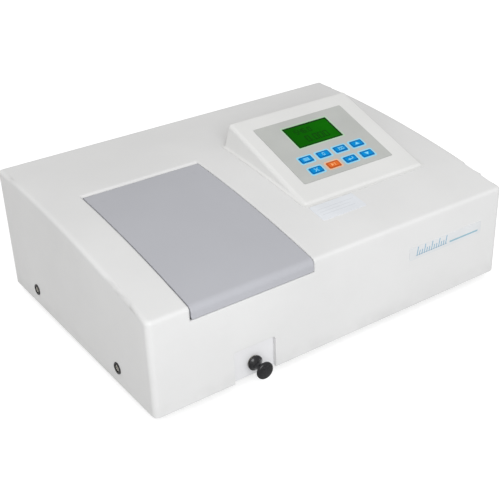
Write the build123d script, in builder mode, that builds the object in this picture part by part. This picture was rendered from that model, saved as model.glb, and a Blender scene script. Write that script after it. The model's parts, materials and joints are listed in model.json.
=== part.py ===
from build123d import *

import math
import os

# Benchtop visible-light spectrophotometer, in millimetres.
# +X is the operator's right, +Y runs to the back, +Z is up.
# The origin is on the bench, at the centre of the whole outline with the pull knob pushed in.

# ---------------------------------------------------------------- driving dimensions
BODY_W = 476.0  # cover, left to right
BODY_D = 340.0  # cover, front to back
FRONT_H = 111.0  # cover height at its front edge, before rounding
REAR_H = 150.5  # cover height at its back edge
CROWN_R = 1600.0  # side-view radius of the cover's top
FOOT_H = 10.0
KNOB_REACH = 19.0  # how far the knob stands out of the front face
WALL = 4.0  # cover wall
CORNER_R = 6.5  # upright front corners
REAR_CORNER_R = 2.5
TOP_R = 4.5  # edge round the cover's top
INNER_R = 0.5  # least radius in the cover's inside corners

LEFT, RIGHT = -BODY_W / 2, BODY_W / 2
FRONT = -(BODY_D - KNOB_REACH) / 2
REAR = FRONT + BODY_D
BOTTOM = FOOT_H
SHEET = 2.0  # chassis sheet metal
FLOOR = BOTTOM + SHEET  # top of the base tray

# sample lid
LID_LEFT, LID_RIGHT = LEFT + 48.5, LEFT + 197.5
LID_REAR = FRONT + 219.3
LID_DROP = 1.0  # lid surface below the cover's surface
LID_T = 3.0
SKIRT_T = 2.5
SKIRT_H = 8.0
LIP_Z = BOTTOM + 96.7  # bottom of the front lip
FOLD_R = 8.0
LID_GAP_LEFT, LID_GAP = 1.6, 0.5
BEVEL = 4.5  # from the lid's rear edge to the top of the sloped edge behind it
HINGE_Y = LID_REAR - 12.0
HINGE_DROP = 10.0  # hinge axis below the lid's surface
NOSE_R = 16.0  # the cover's edge behind the lid curves round the hinge at this radius
PIN_R = 2.0
RUN = 0.05  # running clearance on a radius
SLIP = 0.02  # assembly clearance on a radius

# pull rod and sample changer
ROD_X = LEFT + 120.5
ROD_Z = BOTTOM + 15.5
ROD_R = 3.0
CELL_PITCH = 20.0
CELLS = 4
BEAM_Y = FRONT + 102.0
BEAM_Z = BOTTOM + 39.0
CUVETTE = 12.5
NOTCH_W, NOTCH_H = 52.0, 38.5
PLATE_Y = FRONT + WALL + 0.3

# sample compartment
TUB_T = 2.5
TUB_LEFT, TUB_RIGHT = LID_LEFT + 4.5, LID_RIGHT - 4.5
TUB_FRONT, TUB_REAR = FRONT + 8.0, FRONT + 198.5
TUB_DROP = 6.9  # compartment rim below the cover's surface
FLANGE_DROP = 10.0
WINDOW_R = 7.0

# console
TILT = 19.1
CONSOLE_LEFT, CONSOLE_RIGHT = LEFT + 246.0, LEFT + 424.0
CONSOLE_L = 156.0
CONSOLE_X = LEFT + 332.5  # middle of the overlay and its keys
CONSOLE_Y, CONSOLE_Z = FRONT + 78.5, BOTTOM + 129.0
CONSOLE_T = 3.0
OVERLAY_W, OVERLAY_L, OVERLAY_V = 132.0, 105.0, 79.7
OVERLAY_T = 1.0
LCD_W, LCD_L, LCD_V = 66.4, 38.2, 100.7
KEY_W, KEY_L = 17.0, 9.6
KEY_PITCH_X, KEY_PITCH_V = 25.4, 20.0
KEY_V = 52.0
KEY_TRAVEL = 0.5

# optics
MONO_X0, MONO_X1 = LEFT + 205.0, LEFT + 395.0
MONO_Y0, MONO_Y1 = FRONT + 20.0, FRONT + 200.0
MONO_Z0, MONO_Z1 = BOTTOM + 8.0, BOTTOM + 75.0
MONO_T = 5.0
SLIT_X = LEFT + 355.0  # the lamp's beam runs along -Y at this X
GRATING_X, GRATING_Y = LEFT + 285.0, FRONT + 160.0
COLLIMATOR = (SLIT_X, FRONT + 42.0)
FOCUSER = (LEFT + 371.0, BEAM_Y)
GEAR_MODULE, SECTOR_TEETH, PINION_TEETH = 1.0, 80, 16
PRESSURE_ANGLE = math.radians(20)
BACKLASH = 0.16
GEAR_Z, GEAR_T = MONO_Z0 + MONO_T + 3.0, 4.0
MOTOR_X = GRATING_X - GEAR_MODULE * (SECTOR_TEETH + PINION_TEETH) / 2
LAMP_X0, LAMP_X1 = LEFT + 315.0, LEFT + 440.0
LAMP_Y0, LAMP_Y1 = FRONT + 226.0, FRONT + 312.0
LAMP_Z1 = BOTTOM + 84.0
LAMP_Y = FRONT + 272.0
WHEEL_X, WHEEL_Z = SLIT_X + 16.0, BEAM_Z + 12.0
WHEEL_R, FILTER_RING_R, FILTER_R = 27.0, 20.0, 5.5

# back of the instrument
PANEL_Y = REAR - WALL - 0.3  # outside face of the rear panel
INLET_X, INLET_Z = LEFT + 385.0 - 310.0, BOTTOM + 40.0
FAN_X, FAN_Z, FAN_SIZE, FAN_T = LEFT + 385.0, BOTTOM + 45.0, 60.0, 15.0
PORT_X, PORT_Z = LEFT + 225.0, BOTTOM + 32.0

SCREW_R = 2.0
SIDE_SCREW_Y = (FRONT + 74.3, FRONT + 272.0)
SIDE_SCREW_Z = BOTTOM + 20.0
FOOT_X, FOOT_Y = (LEFT + 45.0, RIGHT - 45.0), (FRONT + 45.0, REAR - 45.0)


# ---------------------------------------------------------------- shared shapes
def crown_centre():
    """Centre of the arc through the cover's front and rear top edges, as (y, z)."""
    rise = REAR_H - FRONT_H
    chord = math.hypot(BODY_D, rise)
    reach = math.sqrt(CROWN_R**2 - chord**2 / 4)
    mid_y, mid_z = (FRONT + REAR) / 2, BOTTOM + (FRONT_H + REAR_H) / 2
    return mid_y + rise / chord * reach, mid_z - BODY_D / chord * reach


CROWN_Y, CROWN_Z = crown_centre()


def crown_z(y, drop=0.0):
    """Height of the cover's crowned surface at y, or of the surface that lies drop below it."""
    return CROWN_Z + math.sqrt((CROWN_R - drop) ** 2 - (y - CROWN_Y) ** 2)


def crown_point(y, drop=0.0):
    return (y, crown_z(y, drop))


HINGE_Z = crown_z(LID_REAR, LID_DROP) - HINGE_DROP


def nose_point(y):
    """Point above y on the arc that clears the lid's rear edge as it swings down, as (y, z)."""
    return (y, HINGE_Z + math.sqrt(NOSE_R**2 - (y - HINGE_Y) ** 2))


def crowned_block(x0, x1, y0, y1, z0, drop):
    """Flat-bottomed block whose top follows the crown."""
    with BuildPart() as made:
        with BuildSketch(Plane.YZ.offset(x0)):
            with BuildLine():
                Polyline(crown_point(y0, drop), (y0, z0), (y1, z0), crown_point(y1, drop))
                ThreePointArc(crown_point(y1, drop), crown_point((y0 + y1) / 2, drop), crown_point(y0, drop))
            make_face()
        extrude(amount=x1 - x0)
    return made.part


def crowned_slab(x0, x1, y0, y1, top, bottom):
    """Curved sheet between two depths below the crown."""
    with BuildPart() as made:
        with BuildSketch(Plane.YZ.offset(x0)):
            with BuildLine():
                ThreePointArc(crown_point(y0, top), crown_point((y0 + y1) / 2, top), crown_point(y1, top))
                Line(crown_point(y1, top), crown_point(y1, bottom))
                ThreePointArc(
                    crown_point(y1, bottom), crown_point((y0 + y1) / 2, bottom), crown_point(y0, bottom),
                )
                Line(crown_point(y0, bottom), crown_point(y0, top))
            make_face()
        extrude(amount=x1 - x0)
    return made.part


def cover_blank(inset, z0):
    """The cover's outside shape, moved in by inset on every side but the bottom."""
    with BuildPart() as made:
        add(crowned_block(LEFT + inset, RIGHT - inset, FRONT + inset, REAR - inset, z0, inset))
        upright = made.edges().filter_by(Axis.Z).group_by(Axis.Y)
        fillet(upright[0], max(CORNER_R - inset, INNER_R))
        upright = made.edges().filter_by(Axis.Z).group_by(Axis.Y)
        fillet(upright[-1], max(REAR_CORNER_R - inset, INNER_R))
        fillet(made.faces().sort_by(Axis.Z)[-1].edges(), max(TOP_R - inset, INNER_R))
    return made.part


def block(x0, x1, y0, y1, z0, z1, mode=Mode.ADD):
    with Locations(((x0 + x1) / 2, (y0 + y1) / 2, (z0 + z1) / 2)):
        Box(x1 - x0, y1 - y0, z1 - z0, mode=mode)


def bar_x(x0, x1, y, z, r, mode=Mode.ADD):
    with Locations(Location(((x0 + x1) / 2, y, z), (0, 90, 0))):
        Cylinder(r, x1 - x0, mode=mode)


def bar_y(y0, y1, x, z, r, mode=Mode.ADD):
    with Locations(Location((x, (y0 + y1) / 2, z), (90, 0, 0))):
        Cylinder(r, y1 - y0, mode=mode)


def bar_z(z0, z1, x, y, r, mode=Mode.ADD):
    with Locations((x, y, (z0 + z1) / 2)):
        Cylinder(r, z1 - z0, mode=mode)


def facing_front(y):
    """Plane seen from the front, local x along +X and local y along +Z; extrudes towards -Y."""
    return Plane(origin=(0, y, 0), x_dir=(1, 0, 0), z_dir=(0, -1, 0))


def save(part, label):
    part.label = label
    export_step(part, f"parts/{label}.step")


os.makedirs("parts", exist_ok=True)

# ---------------------------------------------------------------- cover and chassis
outer_blank = cover_blank(0, BOTTOM)
inner_blank = cover_blank(WALL, BOTTOM - 1)
REAR_LIP_H = 10.8

with BuildPart() as top_cover:
    add(outer_blank)
    add(inner_blank, mode=Mode.SUBTRACT)
    # turned-down edge behind the lid
    add(crowned_slab(LID_LEFT - 4, LID_RIGHT + 4, LID_REAR + 1, LID_REAR + BEVEL + 3, 1, REAR_LIP_H))
    # lid opening, through the top and down the front; its rear edge slopes down to the lid
    with BuildSketch(Plane.YZ.offset(LID_LEFT - LID_GAP_LEFT)):
        with BuildLine():
            above, below = BOTTOM + REAR_H + 10, LIP_Z - LID_GAP
            bevel_top, bevel_foot = crown_point(LID_REAR + BEVEL), nose_point(LID_REAR + 1.4)
            nose_end = nose_point(HINGE_Y + NOSE_R)
            Polyline(
                bevel_foot, bevel_top, (bevel_top[0], above), (FRONT - 5, above), (FRONT - 5, below),
                (nose_end[0], below), nose_end,
            )
            ThreePointArc(nose_end, nose_point(LID_REAR + 3), bevel_foot)
        make_face()
    extrude(amount=LID_RIGHT - LID_LEFT + LID_GAP_LEFT + LID_GAP, mode=Mode.SUBTRACT)
    # notch for the pull rod, open at the bottom so that the cover lifts off
    with BuildSketch(facing_front(FRONT + WALL + 1)):
        with Locations((ROD_X, BOTTOM + NOTCH_H / 2 - 1)):
            notch = Rectangle(NOTCH_W, NOTCH_H + 2)
        fillet(notch.vertices().group_by(Axis.Z)[-1], 3)
    extrude(amount=WALL + 5, mode=Mode.SUBTRACT)
    # window for the rear panel
    block(LEFT + 30, RIGHT - 25, REAR - 6, REAR + 5, BOTTOM + 6, BOTTOM + 88, mode=Mode.SUBTRACT)
    # way through to the console
    block(
        CONSOLE_X - 62, CONSOLE_X + 62, CONSOLE_Y + 18, CONSOLE_Y + 122,
        BOTTOM + 110, BOTTOM + REAR_H + 5, mode=Mode.SUBTRACT,
    )
    for screw_y in SIDE_SCREW_Y:
        bar_x(LEFT - 5, RIGHT + 5, screw_y, SIDE_SCREW_Z, 5.1, mode=Mode.SUBTRACT)
    mouth = [
        e for e in top_cover.edges()
        if abs(e.center().Z - crown_z(e.center().Y)) < 0.6
        and LID_LEFT - 2 < e.center().X < LID_RIGHT + 2
        and FRONT + 20 < e.center().Y < LID_REAR + 8
    ]
    fillet(mouth, 0.8)
save(top_cover.part, "top_cover")

with BuildPart() as base_tray:
    with BuildSketch(Plane.XY.offset(BOTTOM)):
        with Locations((0, (FRONT + 7 + REAR - 7.5) / 2)):
            RectangleRounded(BODY_W - 2 * WALL - 0.8, BODY_D - 14.5, 7)
    extrude(amount=SHEET)
    for side in (-1, 1):
        edge = side * (BODY_W / 2 - WALL - 0.4)
        block(
            min(edge, edge - side * SHEET), max(edge, edge - side * SHEET), FRONT + 40, REAR - 30, BOTTOM,
            BOTTOM + 30,
        )
    for screw_y in SIDE_SCREW_Y:
        bar_x(LEFT, RIGHT, screw_y, SIDE_SCREW_Z, SCREW_R + SLIP, mode=Mode.SUBTRACT)
    for foot_x in FOOT_X:
        for foot_y in FOOT_Y:
            bar_z(BOTTOM - 1, FLOOR + 1, foot_x, foot_y, SCREW_R + SLIP, mode=Mode.SUBTRACT)
    # cooling slots under the lamp
    with BuildSketch(Plane.XY.offset(BOTTOM - 1)):
        with Locations(((LAMP_X0 + LAMP_X1) / 2 - 20, (LAMP_Y0 + LAMP_Y1) / 2)):
            with GridLocations(10, 1, 6, 1):
                SlotOverall(46, 4, rotation=90)
    extrude(amount=SHEET + 2, mode=Mode.SUBTRACT)
save(base_tray.part, "base_tray")

with BuildPart() as rubber_feet:
    with BuildSketch(Plane.XY):
        with Locations((0, (FOOT_Y[0] + FOOT_Y[1]) / 2)):
            with GridLocations(FOOT_X[1] - FOOT_X[0], FOOT_Y[1] - FOOT_Y[0], 2, 2):
                Circle(10.5)
    extrude(amount=FOOT_H, taper=-8)
    with Locations((0, (FOOT_Y[0] + FOOT_Y[1]) / 2, 0)):
        with GridLocations(FOOT_X[1] - FOOT_X[0], FOOT_Y[1] - FOOT_Y[0], 2, 2):
            Cylinder(5, 5, align=(Align.CENTER, Align.CENTER, Align.MIN), mode=Mode.SUBTRACT)
            Cylinder(
                SCREW_R + SLIP, FOOT_H, align=(Align.CENTER, Align.CENTER, Align.MIN), mode=Mode.SUBTRACT,
            )
save(rubber_feet.part, "rubber_feet")

with BuildPart() as foot_screws:
    for foot_x in FOOT_X:
        for foot_y in FOOT_Y:
            bar_z(2.4, 5, foot_x, foot_y, 3.9)
            bar_z(5, FLOOR + 4, foot_x, foot_y, SCREW_R)
            block(foot_x - 2.5, foot_x + 2.5, foot_y - 0.5, foot_y + 0.5, 2, 3.6, mode=Mode.SUBTRACT)
save(foot_screws.part, "foot_screws")

CUP_FLANGE = 1.2
with BuildPart() as cover_screw_cups:
    for screw_y in SIDE_SCREW_Y:
        bar_x(LEFT - CUP_FLANGE, LEFT, screw_y, SIDE_SCREW_Z, 6.6)
        bar_x(LEFT, LEFT + WALL, screw_y, SIDE_SCREW_Z, 5.0)
    fillet(cover_screw_cups.faces().filter_by(Axis.X).group_by(Axis.X)[0].edges(), 0.6)
    for screw_y in SIDE_SCREW_Y:
        bar_x(LEFT - 2, LEFT + 1.8, screw_y, SIDE_SCREW_Z, 4.4, mode=Mode.SUBTRACT)
        bar_x(LEFT, LEFT + WALL + 1, screw_y, SIDE_SCREW_Z, SCREW_R + 0.2, mode=Mode.SUBTRACT)
    mirror(about=Plane.YZ)
save(cover_screw_cups.part, "cover_screw_cups")

with BuildPart() as cover_screws:
    for screw_y in SIDE_SCREW_Y:
        bar_x(LEFT - 0.6, LEFT + 1.8, screw_y, SIDE_SCREW_Z, 3.8)
        bar_x(LEFT + 1.8, LEFT + 10, screw_y, SIDE_SCREW_Z, SCREW_R)
    fillet(cover_screws.faces().filter_by(Axis.X).group_by(Axis.X)[0].edges(), 1.0)
    for screw_y in SIDE_SCREW_Y:
        block(
            LEFT - 1, LEFT + 0.7, screw_y - 2.4, screw_y + 2.4, SIDE_SCREW_Z - 0.45, SIDE_SCREW_Z + 0.45,
            mode=Mode.SUBTRACT,
        )
        block(
            LEFT - 1, LEFT + 0.7, screw_y - 0.45, screw_y + 0.45, SIDE_SCREW_Z - 2.4, SIDE_SCREW_Z + 2.4,
            mode=Mode.SUBTRACT,
        )
    mirror(about=Plane.YZ)
save(cover_screws.part, "cover_screws")

LABEL_T = 0.5
with BuildPart() as front_label:
    with BuildSketch(facing_front(FRONT)):
        with Locations((LEFT + 388.5, BOTTOM + 69.3)):
            RectangleRounded(113, 15.6, 2)
    extrude(amount=LABEL_T)
save(front_label.part, "front_label")

with BuildPart() as top_label:
    add(crowned_slab(LEFT + 248, LEFT + 309, FRONT + 47, FRONT + 73, -LABEL_T, 0))
    fillet(top_label.edges().filter_by(Axis.Z, tolerance=15), 2)
save(top_label.part, "top_label")

# ---------------------------------------------------------------- sample lid
ARM_T, ARM_R, ARM_IN = 5.0, 6.0, 14.0
LUG_T, LUG_R = 4.0, 5.0
with BuildPart() as sample_lid:
    with BuildSketch(Plane.YZ.offset(LID_LEFT)):
        with BuildLine():
            middle = (FRONT + LID_REAR) / 2
            under = LID_DROP + SKIRT_H
            inside = FRONT + LID_T
            ThreePointArc(
                crown_point(LID_REAR, LID_DROP), crown_point(middle, LID_DROP),
                crown_point(FRONT, LID_DROP),
            )
            Polyline(
                crown_point(FRONT, LID_DROP), (FRONT, LIP_Z), (inside, LIP_Z), crown_point(inside, under),
            )
            ThreePointArc(
                crown_point(inside, under), crown_point(middle, under), crown_point(LID_REAR, under),
            )
            Line(crown_point(LID_REAR, under), crown_point(LID_REAR, LID_DROP))
        make_face()
    extrude(amount=LID_RIGHT - LID_LEFT)
    fold = sample_lid.edges().filter_by(Axis.X).sort_by_distance((0, FRONT, crown_z(FRONT, LID_DROP)))[0]
    fillet(fold, FOLD_R)
    fillet(sample_lid.edges().filter_by(Axis.Y).group_by(Axis.Z)[0], 3)
    rim = [
        e for e in sample_lid.edges()
        if e.center().Z > crown_z(e.center().Y, LID_DROP) - 0.3 or e.center().Y < FRONT + 0.3
    ]
    fillet([e for e in rim if abs(e.center().X) > abs(LID_RIGHT) - 0.1 or e.center().Y > LID_REAR - 0.3], 0.7)
    add(
        crowned_slab(
            LID_LEFT + SKIRT_T, LID_RIGHT - SKIRT_T, FRONT + LID_T, LID_REAR - SKIRT_T,
            LID_DROP + LID_T, LID_DROP + SKIRT_H + 3,
        ),
        mode=Mode.SUBTRACT,
    )
    inner_fold = sample_lid.edges().filter_by(Axis.X).sort_by_distance(
        ((LID_LEFT + LID_RIGHT) / 2, FRONT + LID_T, crown_z(FRONT + LID_T, LID_DROP + LID_T))
    )[0]
    fillet(inner_fold, 4)
    for arm_x in (LID_LEFT + ARM_IN, LID_RIGHT - ARM_IN - ARM_T):
        with BuildSketch(Plane.YZ.offset(arm_x)):
            with Locations((HINGE_Y, HINGE_Z)):
                Circle(ARM_R)
                Rectangle(2 * ARM_R, HINGE_DROP - LID_T / 2, align=(Align.CENTER, Align.MIN))
        extrude(amount=ARM_T)
        bar_x(arm_x - 1, arm_x + ARM_T + 1, HINGE_Y, HINGE_Z, PIN_R + RUN, mode=Mode.SUBTRACT)
save(sample_lid.part, "sample_lid")

with BuildPart() as lid_liner:
    liner_top = LID_DROP + LID_T
    add(crowned_slab(LID_LEFT + 4, LID_RIGHT - 4, FRONT + 10, HINGE_Y - 14, liner_top, liner_top + 1.2))
save(lid_liner.part, "lid_liner")

with BuildPart() as hinge_pins:
    bar_x(LID_LEFT + ARM_IN - 1.5, LID_LEFT + ARM_IN + ARM_T + LUG_T + 1.5, HINGE_Y, HINGE_Z, PIN_R)
    bar_x(LID_RIGHT - ARM_IN - ARM_T - LUG_T - 1.5, LID_RIGHT - ARM_IN + 1.5, HINGE_Y, HINGE_Z, PIN_R)
save(hinge_pins.part, "hinge_pins")

# ---------------------------------------------------------------- sample compartment
GUIDE_DX = 32.0
TUB_FLOOR = FLOOR + TUB_T
with BuildPart() as sample_tub:
    # trough that the lid's rear edge swings down into
    trough_z = HINGE_Z - 14
    add(crowned_block(TUB_LEFT - 11, TUB_RIGHT + 11, TUB_REAR - 12, LID_REAR + 10, trough_z - 2, FLANGE_DROP))
    block(
        TUB_LEFT - 9, TUB_RIGHT + 9, TUB_REAR - 10, LID_REAR + 8,
        trough_z, BOTTOM + REAR_H, mode=Mode.SUBTRACT,
    )
    # compartment and its rim
    add(crowned_block(TUB_LEFT, TUB_RIGHT, TUB_FRONT, TUB_REAR, FLOOR, TUB_DROP))
    add(
        crowned_slab(
            TUB_LEFT - 11, TUB_RIGHT + 11, TUB_FRONT - 3.5, TUB_REAR - 11,
            FLANGE_DROP, FLANGE_DROP + 2,
        ),
    )
    add(
        crowned_block(
            TUB_LEFT + TUB_T, TUB_RIGHT - TUB_T, TUB_FRONT + TUB_T, TUB_REAR - TUB_T, TUB_FLOOR,
            TUB_DROP - 2,
        ),
        mode=Mode.SUBTRACT,
    )
    # hinge lugs
    for lug_x in (LID_LEFT + ARM_IN + ARM_T + 0.4, LID_RIGHT - ARM_IN - ARM_T - 0.4 - LUG_T):
        with BuildSketch(Plane.YZ.offset(lug_x)):
            Polygon(
                (TUB_REAR - 1, trough_z - 1), (TUB_REAR - 1, HINGE_Z + 1), (HINGE_Y - 4, HINGE_Z + 3),
                (HINGE_Y + LUG_R, HINGE_Z), (HINGE_Y, trough_z - 1), align=None,
            )
            with Locations((HINGE_Y, HINGE_Z)):
                Circle(LUG_R)
        extrude(amount=LUG_T)
        bar_x(lug_x - 1, lug_x + LUG_T + 1, HINGE_Y, HINGE_Z, PIN_R + SLIP, mode=Mode.SUBTRACT)
    bar_y(TUB_FRONT - 1, TUB_FRONT + TUB_T + 1, ROD_X, ROD_Z, ROD_R + 0.6, mode=Mode.SUBTRACT)
    for side in (-1, 1):
        bar_y(TUB_FRONT - 1, TUB_REAR + 1, ROD_X + side * GUIDE_DX, ROD_Z, ROD_R + SLIP, mode=Mode.SUBTRACT)
    bar_x(TUB_LEFT - 1, TUB_RIGHT + 1, BEAM_Y, BEAM_Z, WINDOW_R, mode=Mode.SUBTRACT)
save(sample_tub.part, "sample_tub")

with BuildPart() as rim_gasket:
    add(crowned_slab(TUB_LEFT, TUB_RIGHT, TUB_FRONT, TUB_REAR, TUB_DROP - 1.4, TUB_DROP))
    add(
        crowned_slab(
            TUB_LEFT + TUB_T, TUB_RIGHT - TUB_T, TUB_FRONT + TUB_T, TUB_REAR - TUB_T, TUB_DROP - 3,
            TUB_DROP + 2,
        ),
        mode=Mode.SUBTRACT,
    )
save(rim_gasket.part, "rim_gasket")

with BuildPart() as guide_rods:
    for side in (-1, 1):
        bar_y(TUB_FRONT, TUB_REAR, ROD_X + side * GUIDE_DX, ROD_Z, ROD_R)
save(guide_rods.part, "guide_rods")

CARRIAGE_Y0, CARRIAGE_Y1 = BEAM_Y - 14, BEAM_Y + (CELLS - 1) * CELL_PITCH + 14
CARRIAGE_Z0, CARRIAGE_Z1 = ROD_Z - 5, ROD_Z + 5
with BuildPart() as cell_carriage:
    with BuildSketch(Plane.XY.offset(CARRIAGE_Z0)):
        with Locations((ROD_X, (CARRIAGE_Y0 + CARRIAGE_Y1) / 2)):
            RectangleRounded(2 * GUIDE_DX + 16, CARRIAGE_Y1 - CARRIAGE_Y0, 4)
    extrude(amount=CARRIAGE_Z1 - CARRIAGE_Z0)
    for side in (-1, 1):
        bar_y(
            CARRIAGE_Y0 - 1, CARRIAGE_Y1 + 1, ROD_X + side * GUIDE_DX, ROD_Z, ROD_R + RUN,
            mode=Mode.SUBTRACT,
        )
    bar_y(CARRIAGE_Y0 - 1, CARRIAGE_Y0 + 15, ROD_X, ROD_Z, ROD_R + SLIP, mode=Mode.SUBTRACT)
save(cell_carriage.part, "cell_carriage")

HOLDER_H = 32.0
POCKET_FLOOR = CARRIAGE_Z1 + 3.5
POCKET = CUVETTE + 0.3
SPRING_ROOM = 1.0
HOLDER_Y0, HOLDER_Y1 = BEAM_Y - 11, BEAM_Y + (CELLS - 1) * CELL_PITCH + 11
CELL_YS = [BEAM_Y + n * CELL_PITCH for n in range(CELLS)]
with BuildPart() as cell_holder:
    block(ROD_X - 11, ROD_X + 11, HOLDER_Y0, HOLDER_Y1, CARRIAGE_Z1, CARRIAGE_Z1 + HOLDER_H)
    chamfer(cell_holder.faces().sort_by(Axis.Z)[-1].edges(), 0.8)
    for cell_y in CELL_YS:
        block(
            ROD_X - POCKET / 2, ROD_X + POCKET / 2, cell_y - POCKET / 2, cell_y + POCKET / 2 + SPRING_ROOM,
            POCKET_FLOOR, CARRIAGE_Z1 + HOLDER_H + 1, mode=Mode.SUBTRACT,
        )
        block(ROD_X - 15, ROD_X + 15, cell_y - 4, cell_y + 4, BEAM_Z - 7, BEAM_Z + 7, mode=Mode.SUBTRACT)
save(cell_holder.part, "cell_holder")

with BuildPart() as cuvette_springs:
    holder_top = CARRIAGE_Z1 + HOLDER_H
    for cell_y in CELL_YS:
        back = cell_y + POCKET / 2 + SPRING_ROOM
        block(ROD_X - 3.5, ROD_X + 3.5, back - 0.4, back, POCKET_FLOOR + 1, holder_top + 0.4)
        block(ROD_X - 3.5, ROD_X + 3.5, back - 0.4, back + 3, holder_top, holder_top + 0.4)
save(cuvette_springs.part, "cuvette_springs")

KNOB_BACK = FRONT + 2.0
KNOB_FRONT = FRONT - KNOB_REACH
KNOB_R, COLLAR_R, WAIST_R = 9.8, 8.5, 4.4
with BuildPart() as pull_knob:
    with BuildSketch(Plane(origin=(ROD_X, 0, ROD_Z), x_dir=(1, 0, 0), z_dir=(0, 0, 1))):
        with BuildLine():
            Polyline(
                (0, KNOB_BACK), (COLLAR_R - 0.8, KNOB_BACK), (COLLAR_R, KNOB_BACK - 0.8), (
                    COLLAR_R, KNOB_BACK - 2,
                ),
            )
            ThreePointArc((COLLAR_R, KNOB_BACK - 2), (WAIST_R, KNOB_BACK - 10), (KNOB_R, KNOB_FRONT + 3.6))
            Line((KNOB_R, KNOB_FRONT + 3.6), (KNOB_R, KNOB_FRONT + 2.2))
            ThreePointArc(
                (KNOB_R, KNOB_FRONT + 2.2), (KNOB_R - 0.7, KNOB_FRONT + 1.2),
                (KNOB_R - 1.8, KNOB_FRONT + 0.7),
            )
            ThreePointArc((KNOB_R - 1.8, KNOB_FRONT + 0.7), (KNOB_R / 2, KNOB_FRONT + 0.2), (1, KNOB_FRONT))
            Polyline((1, KNOB_FRONT), (0, KNOB_FRONT), (0, KNOB_BACK))
        make_face()
    revolve(axis=Axis((ROD_X, 0, ROD_Z), (0, 1, 0)))
    bar_y(KNOB_BACK - 12, KNOB_BACK + 1, ROD_X, ROD_Z, ROD_R + SLIP, mode=Mode.SUBTRACT)
save(pull_knob.part, "pull_knob")

with BuildPart() as pull_rod:
    bar_y(KNOB_BACK - 12, CARRIAGE_Y0 + 15, ROD_X, ROD_Z, ROD_R)
save(pull_rod.part, "pull_rod")

BUSH_R = 6.0
with BuildPart() as rod_guide_plate:
    block(ROD_X - 32, ROD_X + 32, PLATE_Y, PLATE_Y + SHEET, FLOOR, BOTTOM + 45)
    block(ROD_X - 32, ROD_X + 32, PLATE_Y, FRONT + 7, BOTTOM, FLOOR)
    bar_y(PLATE_Y - 1, PLATE_Y + SHEET + 1, ROD_X, ROD_Z, BUSH_R + SLIP, mode=Mode.SUBTRACT)
save(rod_guide_plate.part, "rod_guide_plate")

with BuildPart() as rod_bush:
    bar_y(PLATE_Y - 1, PLATE_Y, ROD_X, ROD_Z, BUSH_R + 1.2)
    bar_y(PLATE_Y, PLATE_Y + SHEET + 1, ROD_X, ROD_Z, BUSH_R)
    bar_y(PLATE_Y - 2, PLATE_Y + SHEET + 2, ROD_X, ROD_Z, ROD_R + RUN, mode=Mode.SUBTRACT)
save(rod_bush.part, "rod_bush")

# ---------------------------------------------------------------- detector
DET_X0, DET_X1 = LEFT + 14, TUB_LEFT - 6
with BuildPart() as detector_housing:
    block(DET_X0, DET_X1, BEAM_Y - 22, BEAM_Y + 22, FLOOR, BEAM_Z + 22)
    block(DET_X0 + 3, DET_X1 - 3, BEAM_Y - 19, BEAM_Y + 19, FLOOR - 1, BEAM_Z + 19, mode=Mode.SUBTRACT)
    bar_x(DET_X1 - 4, DET_X1 + 1, BEAM_Y, BEAM_Z, 4.7 + SLIP, mode=Mode.SUBTRACT)
save(detector_housing.part, "detector_housing")

with BuildPart() as photodiode:
    bar_x(DET_X1 - 4, DET_X1 + 2, BEAM_Y, BEAM_Z, 4.7)
    bar_x(DET_X1 - 5, DET_X1 - 4, BEAM_Y, BEAM_Z, 5.5)
    for lead in (-2.5, 2.5):
        bar_x(DET_X1 - 13, DET_X1 - 5, BEAM_Y + lead, BEAM_Z, 0.4)
    block(DET_X1 - 14.6, DET_X1 - 13, BEAM_Y - 16, BEAM_Y + 16, BEAM_Z - 16, BEAM_Z + 14)
save(photodiode.part, "photodiode")


# ---------------------------------------------------------------- monochromator
def tooth(teeth, module):
    """Outline of one involute tooth on the +X axis of a gear centred on the origin."""
    pitch_r = teeth * module / 2
    base_r = pitch_r * math.cos(PRESSURE_ANGLE)
    root_r, tip_r = pitch_r - 1.25 * module, pitch_r + module
    half_pitch = (math.pi * module / 2 - BACKLASH) / (2 * pitch_r)

    def half_angle(r):
        if r <= base_r:
            return half_angle(base_r * 1.0001)
        turn = math.acos(base_r / r)
        return half_pitch + (math.tan(PRESSURE_ANGLE) - PRESSURE_ANGLE) - (math.tan(turn) - turn)

    steps = 6
    radii = [max(root_r, base_r) + (tip_r - max(root_r, base_r)) * i / steps for i in range(steps + 1)]
    flank = [(root_r - 0.4, half_angle(base_r))] + [(r, half_angle(r)) for r in radii]
    upper = [(r * math.cos(a), r * math.sin(a)) for r, a in flank]
    lower = [(x, -y) for x, y in reversed(upper)]
    return upper + lower


def gear_root_r(teeth):
    return teeth * GEAR_MODULE / 2 - 1.25 * GEAR_MODULE


def mirror_plane(place, towards_a, towards_b):
    """Plane of a mirror at place that turns light from towards_a to towards_b; its normal faces the light."""
    def unit(p):
        dx, dy = p[0] - place[0], p[1] - place[1]
        return dx / math.hypot(dx, dy), dy / math.hypot(dx, dy)

    (ax, ay), (bx, by) = unit(towards_a), unit(towards_b)
    length = math.hypot(ax + bx, ay + by)
    normal = ((ax + bx) / length, (ay + by) / length, 0)
    return Plane(origin=(place[0], place[1], BEAM_Z), x_dir=(0, 0, 1), z_dir=normal)


GRATING_POINT = (GRATING_X, GRATING_Y)
COLLIMATOR_PLANE = mirror_plane(COLLIMATOR, (SLIT_X, MONO_Y1), GRATING_POINT)
FOCUSER_PLANE = mirror_plane(FOCUSER, GRATING_POINT, (MONO_X0, BEAM_Y))
MIRROR_R, MIRROR_T, DISH = 13.0, 5.0, 0.6
SHAFT_R = 4.0
SHELF_Z = GEAR_Z + GEAR_T + 9.0
MOTOR_SIZE, MOTOR_H = 28.0, 26.0

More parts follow.
